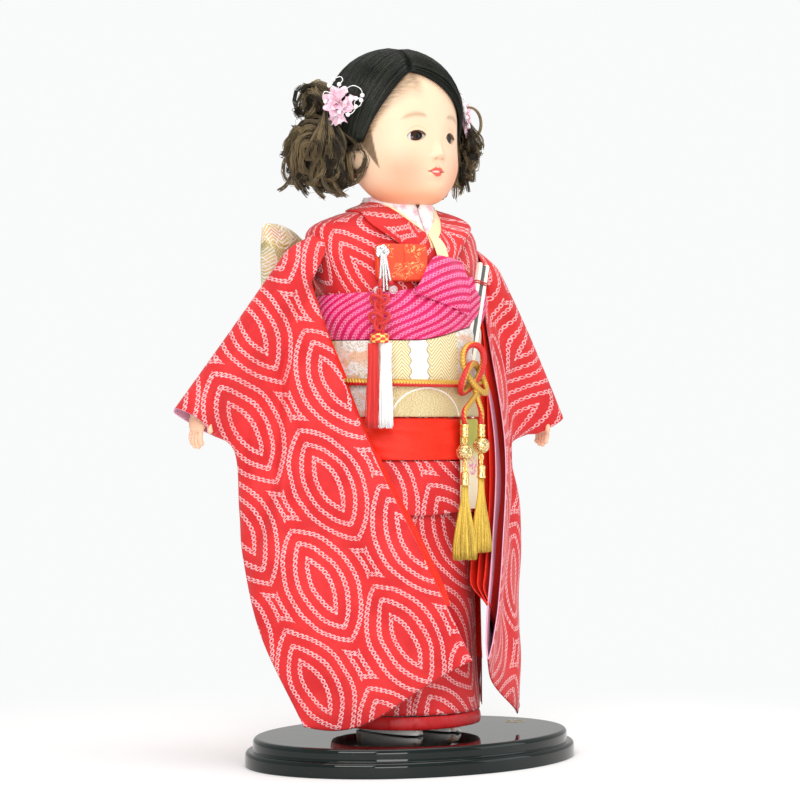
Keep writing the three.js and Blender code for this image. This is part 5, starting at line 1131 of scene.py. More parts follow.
WALLET_TILT, WALLET_TURN = -0.12, -0.378
wallet_at = body(-0.42, 281.1, 4.6)


def on_wallet(x, y, z):
    """Points of the wallet, in mm over its middle, tipped back and turned, in the shared frame."""
    c, s = math.cos(WALLET_TILT), math.sin(WALLET_TILT)
    return hung(wallet_at, WALLET_TURN, x, c * y - s * z, s * y + c * z)


red_brocade = painted("red_brocade", Roughness=0.45, Specular_IOR_Level=0.45)
place = at_uv()
curl = noise(place, 0.16, 1, 1.6)
scroll = math_of("PINGPONG", times(curl, 5.0), 0.5)
motif = noise(place, 0.09, 0)
gold = times(ramp(scroll, 0.4, 0.45), ramp(motif, 0.5, 0.57))
weave = noise(place, 2.5, 2)
ground = blended(weave, (0.72, 0.035, 0.008), (0.9, 0.075, 0.016))
feed(Base_Color=blended(gold, ground, (0.9, 0.6, 0.22)), Metallic=times(gold, 0.5))
bumped(math_of("ADD", gold, weave), 0.5, 0.0004)
x, y, z = rounded(15.5, 2.7, 11, 0.2, 40, 80)
case = surface("wallet_case", on_wallet(x, y, z), closed(np.stack([x, z], -1)), close_v=True, flip=True)
wear(case, red_brocade, "figure", "brocade", "wallet")
x, y, z = rounded(7.0, 0.55, 10.7, 0.2, 40, 80)
flap = surface("wallet_flap", on_wallet(x + 8.6, y - 3.0, z), closed(np.stack([x + 40, z], -1)),
               close_v=True, flip=True)
wear(flap, red_brocade, "figure", "brocade")

# Silver charm
# A small silver flower pinned at the wallet's edge, with twisted silver cords and clear beads.

silver = mottled("bright_silver", 500, 3, (0.55, 0.55, 0.56), (0.95, 0.95, 0.94), bump=(0.3, 0.0004),
    Metallic=1.0, Roughness=0.2)


def sphere(rows, columns):
    """A unit ball from top to bottom as grids of x, y and z."""
    u, a = np.linspace(0, np.pi, rows)[:, None], circle(columns)[None, :]
    return np.sin(u) * np.cos(a), np.sin(u) * np.sin(a), np.cos(u) + 0 * a


def at_silver(x, y, z):
    """Points of the silver charm, in mm about its flower, in the shared frame."""
    return on_wallet(np.asarray(x) - 12.5, np.asarray(y) - 4.5, np.asarray(z) + 5.5)


u = np.linspace(0, 1, 24)[:, None]
a = circle(90)[None, :]
petal = (3.6 + 0.9 * np.abs(np.cos(2.5 * a))) * np.sin(np.pi * u) ** 0.7
deep = -1.15 * np.cos(np.pi * u) * (0.7 + 0.3 * np.cos(5 * a))
bloom = at_silver(petal * np.cos(a), deep, petal * np.sin(a))
wear(surface("silver_flower", bloom, close_v=True), silver, "figure", "silver", "silver_charm")
t = np.linspace(0, 1, 120)
strands = []
for x_end, drop, lean in ((-3.2, 19, -1.5), (-0.6, 22, -1.0), (1.6, 21, -1.3), (3.8, 16, -1.0)):
    for phase in (0, np.pi):
        twist = 2 * np.pi * 11 * t + phase
        x, y = mix(x_end * 0.35, x_end, t) + 0.42 * np.cos(twist), lean + 0.42 * np.sin(twist) - 0.4 * t
        strands.append(at_silver(x, y, -2 - drop * t))
wear(tubes("silver_cords", np.stack(strands), 0.00045, 6), silver, "figure", "silver")
glass = mottled("clear_beads", 300, 2, (0.86, 0.84, 0.86), (0.97, 0.96, 0.97), Roughness=0.06,
    Transmission_Weight=0.75, IOR=1.46)
bead_x, bead_y, bead_z = sphere(20, 32)
beads = np.stack([at_silver(x + 2.6 * bead_x, -2.4 + 0.9 * bead_y, z + 2.6 * bead_z)
    for x, z in ((5.2, -23.0), (-4.6, -23.6))])
wear(surface("silver_beads", beads, close_v=True), glass, "figure", "silver")
red_bead = at_silver(3.9 + 1.7 * bead_x, -2.2 + 1.7 * bead_y, -19.3 + 1.7 * bead_z)
wear(surface("silver_red_bead", red_bead, close_v=True), satin, "figure", "scarlet_silk")

# Wallet cord and tassels
# A red cord in two flat knots, a woven cap in red and gold, and a red and a white thread tassel.

HANG_TURN = -0.74
hang_at = (-0.0456456, -0.0245079, 0.2816)
red_cord = painted("red_cord", Roughness=0.5, Sheen_Weight=0.2)
place = at_uv()
xyz = split(place)
ply = math_of("PINGPONG", math_of("ADD", times(xyz[0], 0.9), xyz[1]), 0.5)
feed(Base_Color=blended(ply, (0.45, 0.004, 0.004), (0.86, 0.03, 0.014)))
bumped(ply, 0.6, 0.0004)
t = np.linspace(0, 2 * np.pi, 160)
lobe_x, lobe_z = np.sin(t) + 2 * np.sin(2 * t), np.cos(t) - 2 * np.cos(2 * t)
knots = np.stack([hung(hang_at, HANG_TURN, size * lobe_x, -1.3 * np.sin(3 * t) - 0.4, size * lobe_z + z)
    for size, z in ((1.9, -8.0), (2.1, -18.6))])
wear(tubes("wallet_cord_knots", knots, 0.00105, 8, caps=False), red_cord, "wallet_tassels", "scarlet_silk",
    "wallet_cord")
t = np.linspace(0, 1, 60)
lines = np.stack([hung(hang_at, HANG_TURN, *spline(path, t).T) for path in (
    [(-0.7, 0, -0.2), (-0.9, 0, -5), (-0.7, 0.3, -14), (-1.4, 0, -23), (-2.2, 0, -27.2)],
    [(0.7, 0, -0.2), (0.9, 0, -5), (0.7, -0.3, -14), (1.4, 0, -23), (2.2, 0, -27.2)])])
wear(tubes("wallet_cord_line", lines, 0.00095, 8), red_cord, "wallet_tassels", "scarlet_silk")
link_start = on_wallet(-13.5, 0.0, -9.0)
link_end = hung(hang_at, HANG_TURN, 0.0, 0.0, 0.6)
middle = (link_start + link_end) / 2 + np.array([-0.001, -0.0025, 0.001])
wear(tubes("wallet_loop", spline([link_start, middle, link_end], np.linspace(0, 1, 40))[None], 0.001, 8),
    red_cord, "figure", "scarlet_silk")
woven_cap = painted("woven_cap", Roughness=0.4)
place = at_uv()
check = put("TexChecker", {"Vector": place, "Scale": 0.62, "Color1": (0, 0, 0), "Color2": (1, 1, 1)})
spark = noise(place, 1.2, 2)
is_gold = times(check.outputs["Fac"], ramp(spark, 0.3, 0.5))
feed(Base_Color=blended(is_gold, (0.62, 0.02, 0.01), (0.95, 0.66, 0.18)), Metallic=times(is_gold, 0.7))
bumped(is_gold, 0.6, 0.0005)
cap_r = np.array([0.1, 2.4, 3.0, 3.25, 3.2, 3.25, 3.0, 2.5, 0.1])
cap_z = np.array([-26.4, -26.4, -26.8, -28, -29.3, -30.6, -31.7, -32.1, -32.1])
a = 2 * np.pi * np.arange(41) / 40
caps = hung(hang_at, HANG_TURN, 1.75 * cap_r[:, None] * np.cos(a[None, :40]),
    cap_r[:, None] * np.sin(a[None, :40]), cap_z[:, None])
cap_uv = stacked(3 * a[None, :], cap_z[:, None])
wear(surface("tassel_caps", caps, cap_uv, close_v=True), woven_cap, "wallet_tassels", "gold_thread")


def thread_paint(name, dark, light):
    """Silk thread whose tone changes from one thread to the next."""
    made = painted(name, Roughness=0.55, Sheen_Weight=0.3)
    tone = mask("tone")
    ply = noise(at_uv(), 2.0, 2)
    feed(Base_Color=blended(tone, dark, light))
    bumped(ply, 0.4, 0.0003)
    return made


for name, x, dark, light, slot in (
        ("red_tassel", -3.6, (0.5, 0.006, 0.006), (0.74, 0.018, 0.01), "scarlet_silk"),
        ("white_tassel", 3.8, (0.74, 0.72, 0.71), (0.93, 0.92, 0.91), "white_cloth")):
    strands = skirt(hang_at, HANG_TURN, 6.6, 9.4, -32.2, 50, 200, len(name), x)
    piece = tubes(name + "_thread", strands, 0.00034, 4)
    wear(piece, thread_paint(name + "_silk", dark, light), "wallet_tassels", slot, name)

# Bow
# The obi is tied behind in a full bow: two stuffed wings, a strap over the knot and a broad hanging end.

BOW_Y, BOW_Z = 58.2, 273.1
u = np.linspace(0, 1, 70)[:, None]
a = circle(120)[None, :]
tall = spline([[0.3], [0.62], [0.92], [1.0], [0.93]], u)[..., 0] * 28
puff = spline([[0.42], [0.85], [1.0], [0.9], [0.35]], u)[..., 0] * 9
close = np.sin(np.pi / 2 * np.clip(u / 0.04, 0, 1)) * np.sqrt(1 - np.clip((u - 0.9) / 0.1, 0, 1) ** 2)
fold = 1 - 0.16 * np.cos(3 * a) + 0.06 * np.cos(7 * a + 3 * u) * (1 - u) + 0.05 * np.cos(11 * a) * (1 - u)
wing_y = BOW_Y + puff * close * fold * np.where(np.sin(a) < 0, 1.2, 1) * np.sin(a)
wing_z = BOW_Z + 9 * u + tall * mix(0.75, 1, close) * np.cos(a)
for side, name in ((-1, "right_bow_wing"), (1, "left_bow_wing")):
    wing = figure(side * (11.3 + 50 * u + 0 * a), wing_y, wing_z)
    uv = closed(stacked(50 * u, tall * np.cos(a) + 60 * side))
    piece = surface(name + "_cloth", wing, uv, close_v=True, flip=side > 0)
    wear(piece, brocade, "figure", "brocade", name)
u = np.linspace(-1, 1, 60)[:, None]
fat = np.sqrt(np.clip(1 - np.abs(u) ** 5, 0, 1)) * mix(0.86, 1.05, np.cos(np.pi * u / 2)) + 0.02
strap_y = BOW_Y + (9.4 + 0.5 * np.cos(9 * a)) * fat * np.where(np.sin(a) < 0, 1.45, 1) * np.sin(a)
strap = figure(10 * fat * np.cos(a), strap_y, BOW_Z + 6.8 + 37 * u + 0 * a)
strap_uv = closed(stacked(10 * a, 37 * u))
piece = surface("bow_knot_cloth", strap, strap_uv, close_v=True, flip=True)
wear(piece, brocade, "figure", "brocade", "bow_knot")
u, v = grid(80, 48)
wide = 46 * mix(0.7, 1, ease(u, 0, 0.3))
hang_y = BOW_Y + 1.4 - 5.0 * ease(u, 0, 0.35) + 1.5 * np.cos(4 * np.pi * v) * u
hang = figure((v - 0.5) * wide, hang_y, 242.0 - u * 112 + 0 * v)
piece = surface("bow_tail_cloth", hang, stacked((v - 0.5) * 46, -u * 112), flip=False)
wear(thick(piece, 2.2), brocade, "figure", "brocade", "bow_tail")

# Arms and hands
# Padded upper arms on wire run into moulded forearms; the small hands hang open with the fingers together.

ARM_AT = np.array([-48.0, 8.0, 296.5])
WRIST_AT = np.array([-134.0, 19.0, 194.5])
arm_way = (WRIST_AT - ARM_AT) / np.linalg.norm(WRIST_AT - ARM_AT)
arm_side = np.cross(arm_way, [0, 1, 0])
arm_side /= np.linalg.norm(arm_side)
arm_over = np.cross(arm_way, arm_side)


def along_arm(t, a, wide, deep):
    """A ring about the arm's line: t is 0 at the shoulder and 1 at the wrist; sizes are radii in mm."""
    line = ARM_AT + (WRIST_AT - ARM_AT) * np.asarray(t)[..., None]
    return line + (wide * np.cos(a))[..., None] * arm_side + (deep * np.sin(a))[..., None] * arm_over


def sided(points, side):
    """Right-hand points of the figure in mm, set on the doll's left for side 1 and on its right for -1."""
    return figure(-side * points[..., 0], points[..., 1], points[..., 2])


hand_skin = mottled("hand_skin", 140, 3, (0.8, 0.44, 0.28), (0.88, 0.56, 0.39), bump=(0.15, 0.0005),
    Roughness=0.4, Subsurface_Weight=0.12, Subsurface_Scale=0.003)
t, a = girth(40, 36, 0)
upper_fat = 9.0 * np.clip(np.sin(np.pi * mix(0.06, 0.94, t)), 0, 1) ** 0.3
upper = along_arm(mix(0.22, 0.575, t) + 0 * a, a, upper_fat + 0.25 * np.sin(5 * a + 9 * t), upper_fat)
hand_t, hand_a = girth(70, 40, 0)
fore_line = spline([mix(ARM_AT, WRIST_AT, 0.585), mix(ARM_AT, WRIST_AT, 0.8), WRIST_AT,
    WRIST_AT + [-1.6, 0.6, -5.5], WRIST_AT + [-2.4, 0.9, -11], WRIST_AT + [-2.8, 1.1, -14.6]], hand_t[:, 0])
fore_wide = spline([[6.0], [5.9], [4.5], [4.4], [3.6], [1.2]], hand_t[:, 0])[:, 0]
fore_deep = spline([[6.0], [5.9], [4.7], [6.3], [6.4], [4.4]], hand_t[:, 0])[:, 0]
ends = np.sqrt(np.clip(np.minimum(hand_t[:, 0] / 0.03, (1 - hand_t[:, 0]) / 0.02), 0.0004, 1))
fore_way = np.gradient(fore_line, axis=0)
fore_way /= np.linalg.norm(fore_way, axis=1, keepdims=True)
fore_deep_way = np.array([0, 1, 0]) - fore_way * fore_way[:, 1:2]
fore_deep_way /= np.linalg.norm(fore_deep_way, axis=1, keepdims=True)
fore_wide_way = np.cross(fore_way, fore_deep_way)
fore_x = (fore_wide * ends)[:, None, None] * np.cos(hand_a)[..., None] * fore_wide_way[:, None]
fore_y = (fore_deep * ends)[:, None, None] * np.sin(hand_a)[..., None] * fore_deep_way[:, None]
fore = fore_line[:, None] + fore_x + fore_y
finger_t = np.linspace(0, 1, 26)
finger_lines = []
for y, reach in ((-4.3, 10.2), (-1.45, 12), (1.45, 11.6), (4.2, 9.8)):
    root = WRIST_AT + np.array([-2.3, y + 0.9, -11.5])
    mid = root + np.array([-0.12, 0.1, -1.0]) * reach * 0.55
    finger_lines.append(spline([root, mid, mid + np.array([1.5, 0, -reach * 0.45])], finger_t))
thumb = [WRIST_AT + [-0.8, -3.6, -4.5], WRIST_AT + [0.4, -7.0, -9.5], WRIST_AT + [0.8, -7.9, -14.6]]
finger_lines.append(spline(thumb, finger_t))
finger_fat = 1.62 * np.sqrt(np.clip((1.02 - finger_t) / 0.12, 0.01, 1)) / 1000
finger_fat = finger_fat * (1 + 0.06 * np.cos(14 * finger_t))
for side, name in ((1, "left"), (-1, "right")):
    sleeve_arm = surface(name + "_upper_arm_cloth", sided(upper, side), close_v=True)
    wear(sleeve_arm, white_cotton, name + "_arm", "cotton", name + "_upper_arm")
    forearm = surface(name + "_forearm", sided(fore, side), close_v=True)
    wear(forearm, hand_skin, name + "_arm", "skin", name + "_hand")
    fingers = tubes(name + "_fingers", sided(np.stack(finger_lines), side), finger_fat[None, :], 14)
    wear(fingers, hand_skin, name + "_arm", "skin")

# Sleeves
# Long flat bags of the kimono silk: sewn along the foot and below the cuff, open down the inner edge,
# so they swing forward and meet in front. A lilac lining shows at the edges.

INNER_EDGE = [(-66, 8, 305), (-65, 5, 274.8), (-63, -4, 246.4), (-52, -33.3, 173.9), (-30, -55.5, 110.5),
    (-6, -74, 47)]
OUTER_EDGE = [(-150, 20.5, 194.5), (-127.9, 21.5, 180.5), (-107.9, 22.5, 169.5), (-103.9, 22.5, 133.5),
              (-101.9, 21.5, 105.5), (-96.9, 10.5, 60.5), (-84.9, -15, 9)]
SWAY = np.array([-0.64, -0.77, 0])


def sleeve_middle(s, h):
    """The sleeve's middle sheet in mm: s runs from the inner edge out, h from the shoulder down.

    A straight line joins the two edges; it sags with h cubed and sways out along the sleeve's own normal.
    Near the shoulder the inner edge reaches in to the robe's seam."""
    s, h = np.broadcast_arrays(s, h)
    inner, outer = spline(INNER_EDGE, h), spline(OUTER_EDGE, h)
    spot = inner + (outer - inner) * s[..., None]
    inside = np.clip(s, 0, 1)
    belly = np.sin(np.pi * inside)
    sag = 12 * np.sin(np.pi * inside ** 1.6) * h ** 3
    fold = 5 * np.sin(2.5 * np.pi * (0.8 * s + 0.45 * h)) * ease(h, 0.25, 0.6)
    out = belly * (6 * np.sin(np.pi * h) + fold)
    seam = (1 - ease(s, 0, 0.16)) * (1 - ease(h, 0.03, 0.32))
    return spot + out[..., None] * SWAY + np.stack([8.5 * seam, 0 * sag, -sag - 3.5 * seam], -1)


def sleeve_normal(s, h):
    """The unit normal of the middle sheet that looks to the front."""
    e = 1e-3
    along = sleeve_middle(np.clip(s, e, 1 - e) + e, h) - sleeve_middle(np.clip(s, e, 1 - e) - e, h)
    down = sleeve_middle(s, np.clip(h, e, 1 - e) + e) - sleeve_middle(s, np.clip(h, e, 1 - e) - e)
    normal = np.cross(along, down)
    return normal / np.linalg.norm(normal, axis=-1, keepdims=True)


def sleeve_half(s, h):
    """Half the bag's thickness: a tunnel for the arm on top, thin below, sewn at foot and edge."""
    depth, reach = mix(0.125, 0.062, s), mix(0.13, 0.1, s)
    half = 3.5 + 9.2 * np.exp(-((h - depth) / reach) ** 2)
    half = half * np.sqrt(np.clip(h / 0.045, 0, 1)) * (1 - 0.45 * ease(h, 0.9, 1))
    foot = np.sqrt(np.clip((1 - h) / 0.03, 0, 1))
    outer = mix(1.0, np.sqrt(np.clip((1 - s) / 0.06, 0, 1)), ease(h, 0.165, 0.2))
    return half * foot * outer + 0.05


def sleeve_pulls(s, h):
    """Creases in mm: one fold that slants from under the arm to the outer edge, and three slow waves.

    The fold is a steep step that dies out to both sides; all fade at the edges, the arm and the foot."""
    over = s - (0.52 + 1.65 * (h - 0.45))
    shown = ease(h, 0.3, 0.42) * (1 - ease(h, 0.72, 0.85))
    fold = -3.6 * np.tanh(over / 0.045) * np.exp(-(over / 0.2) ** 2) * shown
    waves = (np.sin(2 * np.pi * (2.1 * s + 1.1 * h)) + 0.75 * np.sin(2 * np.pi * (3.7 * s - 2.3 * h + 0.2))
             + 0.4 * np.sin(2 * np.pi * (1.3 * s + 6.1 * h)))
    inside = np.sin(np.pi * np.clip(s, 0, 1)) ** 0.5 * ease(h, 0.05, 0.3) * (1 - ease(h, 0.93, 1))
    return (waves + fold) * inside


lilac_silk = painted("lilac_lining", Roughness=0.5, Sheen_Weight=0.1)
place = at_object()
cloud = noise(place, 60, 3)
weave = noise(place, 1500, 2)
lilac = blended(cloud, (0.66, 0.28, 0.42), (0.8, 0.42, 0.55))
height = split(place)[2]
feed(Base_Color=blended(ramp(height, 0.235, 0.275), lilac, (0.62, 0.016, 0.012)))
bumped(weave, 0.25, 0.0003)

h_front = np.concatenate([[0, 0.002, 0.005, 0.009, 0.014, 0.02, 0.03], np.linspace(0.04, 0.965, 96),
                          [0.972, 0.98, 0.986, 0.991, 0.995, 0.998, 1.0]])
s_edge = [0.94, 0.95, 0.96, 0.97, 0.978, 0.985, 0.991, 0.996, 1.0]
s_grid = np.concatenate([np.linspace(0, 0.93, 64), s_edge])[None, :]
h_loop = np.concatenate([h_front, h_front[-2:0:-1]])[:, None]
front = np.concatenate([np.ones(len(h_front)), -np.ones(len(h_front) - 2)])[:, None]
arm_room = 5.2 * np.exp(-((s_grid - 0.2) / 0.22) ** 2 - ((h_loop - 0.2) / 0.09) ** 2) * (front < 0)
bulk = front * sleeve_half(s_grid, h_loop) + sleeve_pulls(s_grid, h_loop) - arm_room
bag = sleeve_middle(s_grid, h_loop) + bulk[..., None] * sleeve_normal(s_grid, h_loop)
across = 0.766 * bag[..., 0] - 0.643 * bag[..., 1]
bag_uv = np.stack([across, bag[..., 2]], -1)
bag_uv = np.concatenate([bag_uv, bag_uv[:1]], 0)
inner_u = np.linspace(-0.018, 0.86, 44)[None, :]
inner_v = np.linspace(0.34, 0.9, 84)[:, None]
for side, name in ((1, "left"), (-1, "right")):
    outer_bag = surface(name + "_sleeve_cloth", sided(bag, side), bag_uv, close_u=True, flip=side < 0)
    wear(thick(outer_bag, 0.7, True), tied_kimono, name + "_arm", "kimono_silk", name + "_sleeve")
    outer_bag.data.materials.append(lilac_silk)
    ruffle = []
    for layer, shift in enumerate((-1.7, 0.0, 1.7)):
        wave = 0.75 * np.sin(26 * inner_v + 2.1 * layer) * (1 - ease(inner_u, 0.0, 0.3))
        reach = inner_u + 0.012 * layer
        room = ease(inner_v, 0.3, 0.45) * (1 - 0.6 * ease(inner_v, 0.84, 0.9))
        flare = (13 - 2.5 * layer) * (1 - ease(inner_u, 0, 0.28))
        flare = flare * ease(inner_v, 0.36, 0.6) * (1 - ease(inner_v, 0.86, 0.92))
        aside = (shift + wave) * room + sleeve_pulls(reach, inner_v)
        ruffle.append(sleeve_middle(reach, inner_v) + aside[..., None] * sleeve_normal(reach, inner_v)
                      + (flare + 1.2 * wave)[..., None] * np.array([0.766, 0.643, 0]))
    inner_bag = surface(name + "_inner_sleeve_cloth", sided(np.stack(ruffle), side))
    wear(thick(inner_bag, 0.5), scarlet_silk, name + "_arm", "scarlet_silk", name + "_inner_sleeve")

# Head
# A moulded head with a burnished shell-white coat tinted peach: round cheeks, a small nose, parted
# lips with a glint of teeth, soft painted brows and painted strokes along the hairline.

HEAD_AT = np.array([0.0, 17.0, 383.45])
FACE_TURN = 0.05


def bump(value, at, spread):
    """A bell that is 1 at a place and falls off over the spread."""
    return np.exp(-((value - at) / spread) ** 2)


def skull(turn, tilt, swell, grow):
    """A point of the head in mm: turn is 0 at the nose and grows to the doll's left, tilt is 0 level.

    The level rings are superellipses that grow square to the jaw; swell lifts a point outward."""
    facing, rise = np.cos(turn), np.sin(tilt)
    jaw = mix(mix(2, 3, ease(facing, -0.5, 0.2)), 4.6, ease(facing, 0.35, 1))
    square = np.where(tilt > 0, 2.2, jaw)
    level = np.maximum(1 - np.abs(rise) ** square, 1e-6) ** (1 / square)
    deep = mix(40, 38.5, ease(facing, -0.4, 0.4))
    tall = np.where(tilt > 0, 42.5, mix(37, 50, ease(facing, -0.6, 0.5)))
    wide = (38 + swell + grow) * level * np.sin(turn)
    return stacked(wide, -(deep + swell + grow) * level * facing, (tall + grow) * rise)


def head_place(points):
    """Points from the head's middle, in mm, in the shared frame."""
    return (points + HEAD_AT) / 1000


def hairline(turn):
    """The tilt of the hair's edge: a peak at the parting, straight to the temples, round the nape."""
    near = np.arctan2(np.sin(turn), np.cos(turn))
    span = np.where(near < -0.4, 0.8, 1.6)
    part = np.abs(near + 0.4) / span
    front = mix(0.74, -0.26, np.minimum(part, 1) ** np.where(near < -0.4, 1.25, 1.6))
    return np.where(part < 1, front, mix(-0.26, -0.62, ease(np.abs(near), 1.2, 2.2)))


def spaced(low, high, count, at, spread, gain):
    """Values from low to high, closer together about one place: even steps of a summed bell."""
    fine = np.linspace(low, high, 4000)
    weight = np.cumsum(1 + gain * bump(fine, at, spread))
    return np.interp(np.linspace(weight[0], weight[-1], count), weight, fine)


tilt = spaced(-1.54, 1.54, 210, -0.35, 0.42, 2.6)[:, None]
turn = spaced(-np.pi, np.pi, 321, FACE_TURN, 0.6, 3.0)[None, :-1]
rise = np.sin(tilt)
side = turn - FACE_TURN
ex = (np.abs(side) - 0.38) * 37.5
ez = (rise + 0.193) * 50 + 0.09 * ex
lid_high = 3.35 * (1 - np.clip((ex - 0.2) / 6.1, -1, 1) ** 2) ** 0.7
lid_low = -2.7 * (1 - np.clip((ex - 0.2) / 6.0, -1, 1) ** 2) ** 0.85
eye = np.minimum(lid_high - ez, ez - lid_low)
eye = eye - 2 * np.clip(np.abs(ex - 0.2) - 6.0, 0, 9)
upper_lid = ease(ez, -0.5, 1.0)
nose = np.where(rise > -0.395, bump(rise, -0.395, 0.1), bump(rise, -0.395, 0.056))
swell = 4.2 * bump(side, 0, 0.088) * nose
for lift, at, wide, level, tall in (
        (1.5, 0.1, 0.05, -0.43, 0.04), (1.5, -0.1, 0.05, -0.43, 0.04), (0.5, 0, 0.09, -0.2, 0.14),
        (1.2, 0, 0.13, -0.572, 0.03), (1.6, 0, 0.1, -0.642, 0.032), (-1.0, 0, 0.15, -0.606, 0.011),
        (-0.35, 0, 0.03, -0.51, 0.04), (-0.8, 0, 0.2, -0.72, 0.04), (1.6, 0, 0.3, -0.85, 0.1),
        (1.6, 0.62, 0.3, -0.55, 0.22), (1.6, -0.62, 0.3, -0.55, 0.22),
        (-1.4, 0.385, 0.17, -0.17, 0.12), (-1.4, -0.385, 0.17, -0.17, 0.12)):
    swell = swell + lift * bump(side, at, wide) * bump(rise, level, tall)
swell = swell + 0.5 * bump(eye, -0.7, 0.6) * mix(0.35, 1, upper_lid)
swell = swell - 0.16 * bump(eye, -2.4, 0.4) * ease(ez, 1.5, 3) - 2.6 * ease(eye, -0.1, 0.5)
face = surface("head_skin", head_place(skull(turn, tilt, swell, 0)), close_v=True, flip=True)
brow_x = np.abs(side)
brow_line = 0.082 - 0.8 * (brow_x - 0.37) ** 2 - 0.2 * np.clip(brow_x - 0.37, 0, 1) ** 2
brow = bump((rise - brow_line) * 46, 0, 1.75 * np.sqrt(np.clip(1 - ((brow_x - 0.42) / 0.24) ** 2, 0.01, 1)))
brow = brow * ease(brow_x, 0.18, 0.27) * (1 - ease(brow_x, 0.54, 0.7))
lip_x, lip_z = side * 38, (rise + 0.604) * 50
lip_top = 3.0 * (1 - np.clip(lip_x / 6.6, -1, 1) ** 2) ** 1.5 - 0.8 * bump(lip_x, 0, 0.9)
lip_low = -3.1 * (1 - np.clip(lip_x / 4.6, -1, 1) ** 2) ** 0.8
lips = ease(np.minimum(np.maximum(lip_top, 0.32) - lip_z, lip_z - np.minimum(lip_low, -0.28)), -0.15, 0.3)
lips = lips * (np.abs(lip_x) < 6.9)
teeth = ease(0.6 * (1 - np.clip((lip_x + 0.4) / 3.7, -1, 1) ** 2) - np.abs(lip_z + 0.05), -0.05, 0.2)
slit = bump(lip_z, -0.05, 0.34) * (np.abs(lip_x) < 6.6)
below = (hairline(turn) - tilt) * 40
stroke = ease(below, mix(8.0, 20.0, ease(turn, -1.0, -0.35)), 2.0)
stroke = stroke * ease(-turn, 0.1, 0.34) * (1 - ease(-turn, 1.2, 1.3))
burn_right = -1.075 + 0.27 * (-0.1 - tilt)
burn_left = -1.27 + 0.94 * np.maximum(-0.27 - tilt, 0)
burn = ease(np.minimum(turn - burn_left, burn_right - turn) * 36, -0.4, 0.6) * (tilt < 0.02)
# Painted shade: the crease mask in the eyelid creases and under the nose, the nostril mask in the nostrils.
masks = {"lid_line": ease(eye, -0.75, -0.15) * (1 - ease(eye, 0.25, 0.5)) * mix(0.25, 1, upper_lid),
    "socket": ease(eye, 0.1, 0.4), "brow": brow, "lips": lips, "teeth": teeth, "slit": slit,
    "crease": 0.4 * bump(eye, -2.4, 0.5) * ease(ez, 1.5, 3)
    + 0.5 * bump(rise, -0.452, 0.016) * bump(np.abs(side), 0.0, 0.1),
    "nostril": bump(np.abs(side), 0.065, 0.028) * bump(rise, -0.452, 0.015),
    # The jaw mask is painted warm bounce light and shade towards the bottom of the head.
    "blush": bump(np.abs(side), 0.58, 0.34) * bump(rise, -0.62, 0.24), "jaw": ease(-rise, 0.62, 0.98),
    "stroke": stroke, "burn": burn, "flow": turn * 38 + 9 * tilt, "comb": tilt * 45 - 7.6 * turn}
for name, values in masks.items():
    attribute(face, name, np.broadcast_to(values, np.broadcast(tilt, turn).shape))

skin = painted("doll_skin", Subsurface_Weight=0.18, Subsurface_Scale=0.004, Specular_IOR_Level=0.4)
place = at_object()
fine = noise(place, 700, 2)
broad = noise(place, 40, 2)
colour = blended(broad, (0.8, 0.545, 0.37), (0.84, 0.6, 0.42))
# jaw adds painted bounce light and shade, crease adds painted shade; blush is the doll's paint.
for name, share, tint in (("blush", 0.58, (0.82, 0.25, 0.15)), ("jaw", 0.6, (0.76, 0.31, 0.13)),
        ("crease", 0.6, (0.72, 0.36, 0.19))):
    colour = blended(times(mask(name), share), colour, tint)
hairs = put("CombineXYZ", {0: mask("comb"), 1: times(mask("flow"), 0.1)}).outputs[0]
hairs = noise(hairs, 1.5, 3)
faint = times(mask("stroke"), ramp(hairs, 0.28, 0.6, 0.45, 1.0))
colour = blended(times(faint, 0.92), colour, (0.2, 0.125, 0.06))
wisp = times(mask("burn"), ramp(hairs, 0.2, 0.55, 0.85, 1.0))
colour = blended(times(wisp, 0.9), colour, (0.11, 0.065, 0.028))
# The nostril tint is painted shade; the other marks are the doll's paint.
for name, share, tint in (
        ("brow", 0.55, (0.27, 0.175, 0.1)),
        ("nostril", 0.55, (0.34, 0.12, 0.05)),
        ("lips", 0.92, (0.7, 0.055, 0.035)),
        ("slit", 0.85, (0.22, 0.012, 0.01)),
        ("teeth", 1, (0.88, 0.8, 0.76)),
        ("socket", 1, (0.7, 0.66, 0.64)),
        ("lid_line", 0.95, (0.07, 0.03, 0.014))):
    colour = blended(times(mask(name), share), colour, tint)
feed(Base_Color=colour, Roughness=math_of("MULTIPLY_ADD", mask("lips"), -0.15, 0.44))
bumped(fine, 0.05, 0.0004)
wear(face, skin, "head", "skin", "head")

t, a = girth(30, 64, 0)
neck_r = 12.5 + 2.5 * ease(t, 0.75, 1)
neck = surface("neck_skin", head_place(stacked(
    neck_r * np.cos(a), -2 + neck_r * np.sin(a), mix(-51.3, -32, t))), close_v=True)
warm_skin = mottled("neck_skin", 60, 3, (0.78, 0.42, 0.23), (0.85, 0.5, 0.3), Roughness=0.5,
    Subsurface_Weight=0.1, Subsurface_Scale=0.004)
wear(neck, warm_skin, "head", "skin")

# Eyes
# Dark brown glass set behind the lids, looking a little to the doll's left.

